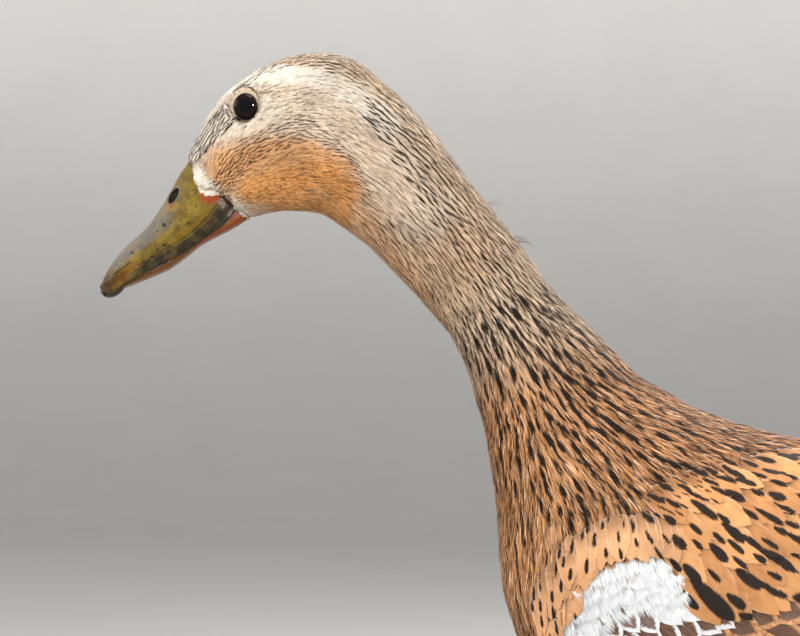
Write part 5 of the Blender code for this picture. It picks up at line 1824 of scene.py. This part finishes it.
def leg_relief(points, normals, word):
    """Scutes over the toes and down the shank's front: (height in mm, scute mask)."""
    ground = points[:, :2] / MM
    lines = toe_lines(word)
    gaps = np.stack([line_distance(ground, line) for line in lines])
    nearest = gaps.argmin(axis=0)
    start = np.array(lines[0][0])
    along = np.linalg.norm(ground - start, axis=1)
    low = points[:, 2] / MM < 14.0
    top = smooth_step((normals[:, 2] - 0.1) / 0.4)
    toe = smooth_step((3.6 - gaps.min(axis=0)) / 1.2) * top * low
    front = smooth_step((-normals[:, 0] - 0.1) / 0.4) * ~low
    phase = np.where(low, along / SCUTE_PITCH + 0.37 * nearest, points[:, 2] / MM / SCUTE_PITCH)
    step = np.abs(np.sin(math.pi * phase)) ** 0.45
    mask = np.maximum(toe, front)
    web = low * (1 - smooth_step((4.4 - gaps.min(axis=0)) / 1.6))
    return 0.26 * (step - 0.8) * mask, mask, web, step


def leg_material(colours):
    """Scaly skin: net of small scales, broad scutes in front, darker webs with smudges."""
    tree = Surfacing("scaled leg", roughness=0.45, specular=0.4)
    mask, web, step, _ = tree.attribute("marks")
    place = tree.object_place()
    net = tree.ramp(tree.cells(place, 720.0, "DISTANCE_TO_EDGE"), 0.02, 0.16)
    net = tree.math("MAXIMUM", net, tree.times(mask, 0.9))
    cloud = tree.noise(place, 70.0, 4.0, 0.6)
    colour = tree.mix(tree.ramp(cloud, 0.35, 0.65), colours.leg, (0.60, 0.26, 0.06))
    colour = tree.mix(tree.times(web, 0.75), colour, (0.26, 0.105, 0.03))
    smudge = tree.ramp(tree.noise(place, 45.0, 5.0, 0.7), 0.54, 0.66)
    colour = tree.mix(tree.times(smudge, 0.7), colour, (0.055, 0.030, 0.016))
    line = tree.times(tree.minus(1.0, net), 0.65)
    colour = tree.mix(line, colour, (0.10, 0.045, 0.02))
    furrow = tree.times(mask, tree.ramp(step, 0.55, 0.2, 0.0, 0.7))
    colour = tree.mix(furrow, colour, (0.10, 0.045, 0.02))
    return tree.finish(colour, net, 0.0004, 0.7)


class DUCK_OT_legs(bpy.types.Operator):
    """Scaled shanks and webbed feet, with horn claws"""

    bl_idname = "duck.legs"
    bl_label = "Legs"

    def execute(self, context):
        skin = leg_material(context.scene.duck_colours)
        horn = horn_material("claw horn", *CLAW_HORN)
        for word in ("left", "right"):
            nodes = (f"shank_{word}", f"foot_{word}")
            obj = remeshed(f"leg_{word}", copied_nodes(nodes, SKIN_GROW), context.scene.duck_sizes.leg_voxel)
            mesh = obj.data
            points = read_array(mesh.vertices, "co", 3)
            hold = smooth_step((points[:, 2:] / MM - 0.9) / 0.8)
            points = smoothed(points, read_array(mesh.edges, "vertices", 2, np.int32), 6, hold=hold)
            points[:, 2] = np.maximum(points[:, 2], 0.0)
            set_points(mesh, points)
            normals = vertex_normals(mesh)
            height, mask, web, step = leg_relief(points, normals, word)
            points = points + normals * (height * MM)[:, None]
            points[:, 2] = np.maximum(points[:, 2], 0.0)
            set_points(mesh, points)
            give_colours(mesh, "marks", np.stack([mask, web, step], axis=1))
            mesh.shade_smooth()
            link(obj, skin, replaces=nodes)
            for toe in TOES:
                give_material(f"claw_{toe}_{word}", horn)
        return {"FINISHED"}


# ------------------------------------------------------------------------------------------------
# Stage
# ------------------------------------------------------------------------------------------------
FRAME_WIDTH = 0.336  # what the view takes in at the bird's middle plane
VIEW_CENTRE = (-0.1239, 0.2736)
LENS = 160.0
SENSOR = 36.0
AIM = (-0.08, 0.0, 0.26)  # what the lights point at
#    name, place, side of the square, power, colour, seen in reflections, lights what it shines on
LIGHTS = (
    ("top", (0.30, -0.22, 1.80), 0.9, 18.0, (1.0, 0.97, 0.92), True, True),
    ("front", (-1.50, -0.12, 0.75), 0.8, 12.0, (0.97, 0.98, 1.0), True, True),
    ("rim", (0.65, 1.1, 1.2), 0.8, 22.0, (1.0, 1.0, 1.0), True, True),
    ("side", (-0.45, -1.70, 0.95), 1.8, 24.0, (1.0, 0.98, 0.95), False, True),
    ("catch", (1.204, -1.30, 0.523), 0.17, 50.0, (1.0, 1.0, 1.0), True, False),
)
WORLD_COLOUR, WORLD_STRENGTH = (1.0, 0.985, 0.96, 1.0), 0.85
FLOOR_HALF, BEND_RADIUS, BEND_STEPS, WALL_HEIGHT = 3.0, 1.2, 12, 3.0


def soft_light(name, place, size, power, colour, mirrored, lights):
    """A square light, which can be left out of reflections, or be seen in nothing but reflections."""
    data = bpy.data.lights.new(name, "AREA")
    data.shape = "SQUARE"
    data.size = size
    data.energy = power
    data.color = colour
    obj = bpy.data.objects.new(name, data)
    obj.location = place
    obj.visible_glossy = mirrored
    obj.visible_diffuse = lights
    obj.rotation_euler = (Vector(AIM) - Vector(place)).to_track_quat("-Z", "Y").to_euler()
    bpy.context.scene.collection.objects.link(obj)


class DUCK_OT_stage(bpy.types.Operator):
    """Pale floor and backdrop, soft lights and the camera"""

    bl_idname = "duck.stage"
    bl_label = "Stage"

    def execute(self, context):
        tree = Surfacing("stage", roughness=0.9, specular=0.1)
        place = tree.object_place()
        grain = tree.ramp(tree.noise(place, 9.0, 4.0), 0.3, 0.7)
        height = tree.add("ShaderNodeSeparateXYZ", {"Vector": place}).outputs["Z"]
        wall = tree.ramp(height, 0.0, 1.2, 0.38, 1.0)
        colour = tree.mix(grain, (0.97, 0.96, 0.945), (1.0, 0.99, 0.975))
        bm = bmesh.new()
        bmesh.ops.create_grid(bm, x_segments=1, y_segments=1, size=FLOOR_HALF)
        back = [e for e in bm.edges if all(v.co.y > FLOOR_HALF - 0.1 for v in e.verts)]
        for k in range(BEND_STEPS):
            turn = math.pi / 2 * (k + 1) / BEND_STEPS
            made = bmesh.ops.extrude_edge_only(bm, edges=back)["geom"]
            back = [g for g in made if isinstance(g, bmesh.types.BMEdge)]
            back = [e for e in back if all(v in made for v in e.verts)]
            for v in {v for e in back for v in e.verts}:
                v.co.y = FLOOR_HALF + BEND_RADIUS * math.sin(turn)
                v.co.z = BEND_RADIUS * (1 - math.cos(turn))
        made = bmesh.ops.extrude_edge_only(bm, edges=back)["geom"]
        for v in (g for g in made if isinstance(g, bmesh.types.BMVert)):
            v.co.z += WALL_HEIGHT
        bmesh.ops.recalc_face_normals(bm, faces=bm.faces)
        mesh = bpy.data.meshes.new("stage")
        bm.to_mesh(mesh)
        bm.free()
        mesh.shade_smooth()
        floor = bpy.data.objects.new("stage", mesh)
        bpy.context.scene.collection.objects.link(floor)
        mesh.materials.append(tree.finish(tree.scaled(colour, wall)))

        world = bpy.data.worlds.new("studio")
        world.use_nodes = True
        sky = world.node_tree.nodes["Background"]
        sky.inputs["Color"].default_value = WORLD_COLOUR
        sky.inputs["Strength"].default_value = WORLD_STRENGTH
        context.scene.world = world
        context.scene.view_settings.view_transform = "Standard"
        for light in LIGHTS:
            soft_light(*light)

        camera = bpy.data.cameras.new("camera")
        camera.lens = LENS
        camera.sensor_width = SENSOR
        camera.clip_start = 0.05
        view = bpy.data.objects.new("camera", camera)
        distance = LENS / SENSOR * FRAME_WIDTH
        view.location = (VIEW_CENTRE[0], -distance, VIEW_CENTRE[1])
        view.rotation_euler = (math.pi / 2, 0, 0)
        bpy.context.scene.collection.objects.link(view)
        bpy.context.scene.camera = view
        return {"FINISHED"}


class DUCK_PT_panel(bpy.types.Panel):
    """Lists the pieces"""

    bl_label = "Runner duck"
    bl_idname = "DUCK_PT_panel"
    bl_space_type = "VIEW_3D"
    bl_region_type = "UI"
    bl_category = "Duck"

    def draw(self, context):
        for step in STEPS:
            self.layout.operator(step.bl_idname)
        for settings in (context.scene.duck_sizes, context.scene.duck_colours):
            for name in settings.bl_rna.properties.keys():
                if name not in ("rna_type", "name"):
                    self.layout.prop(settings, name)


STEPS = (
    DUCK_OT_skin, DUCK_OT_soft_coats, DUCK_OT_body_coats, DUCK_OT_wings, DUCK_OT_tail,
    DUCK_OT_bill, DUCK_OT_eyes, DUCK_OT_legs, DUCK_OT_stage,
)
CLASSES = (DuckColours, DuckSizes, *STEPS, DUCK_PT_panel)


def register():
    for made in CLASSES:
        bpy.utils.register_class(made)
    bpy.types.Scene.duck_colours = PointerProperty(type=DuckColours)
    bpy.types.Scene.duck_sizes = PointerProperty(type=DuckSizes)


def unregister():
    del bpy.types.Scene.duck_colours
    del bpy.types.Scene.duck_sizes
    for made in reversed(CLASSES):
        bpy.utils.unregister_class(made)


def main():
    register()
    for step in STEPS:
        area, name = step.bl_idname.split(".")
        getattr(getattr(bpy.ops, area), name)()


if __name__ == "__main__":
    main()
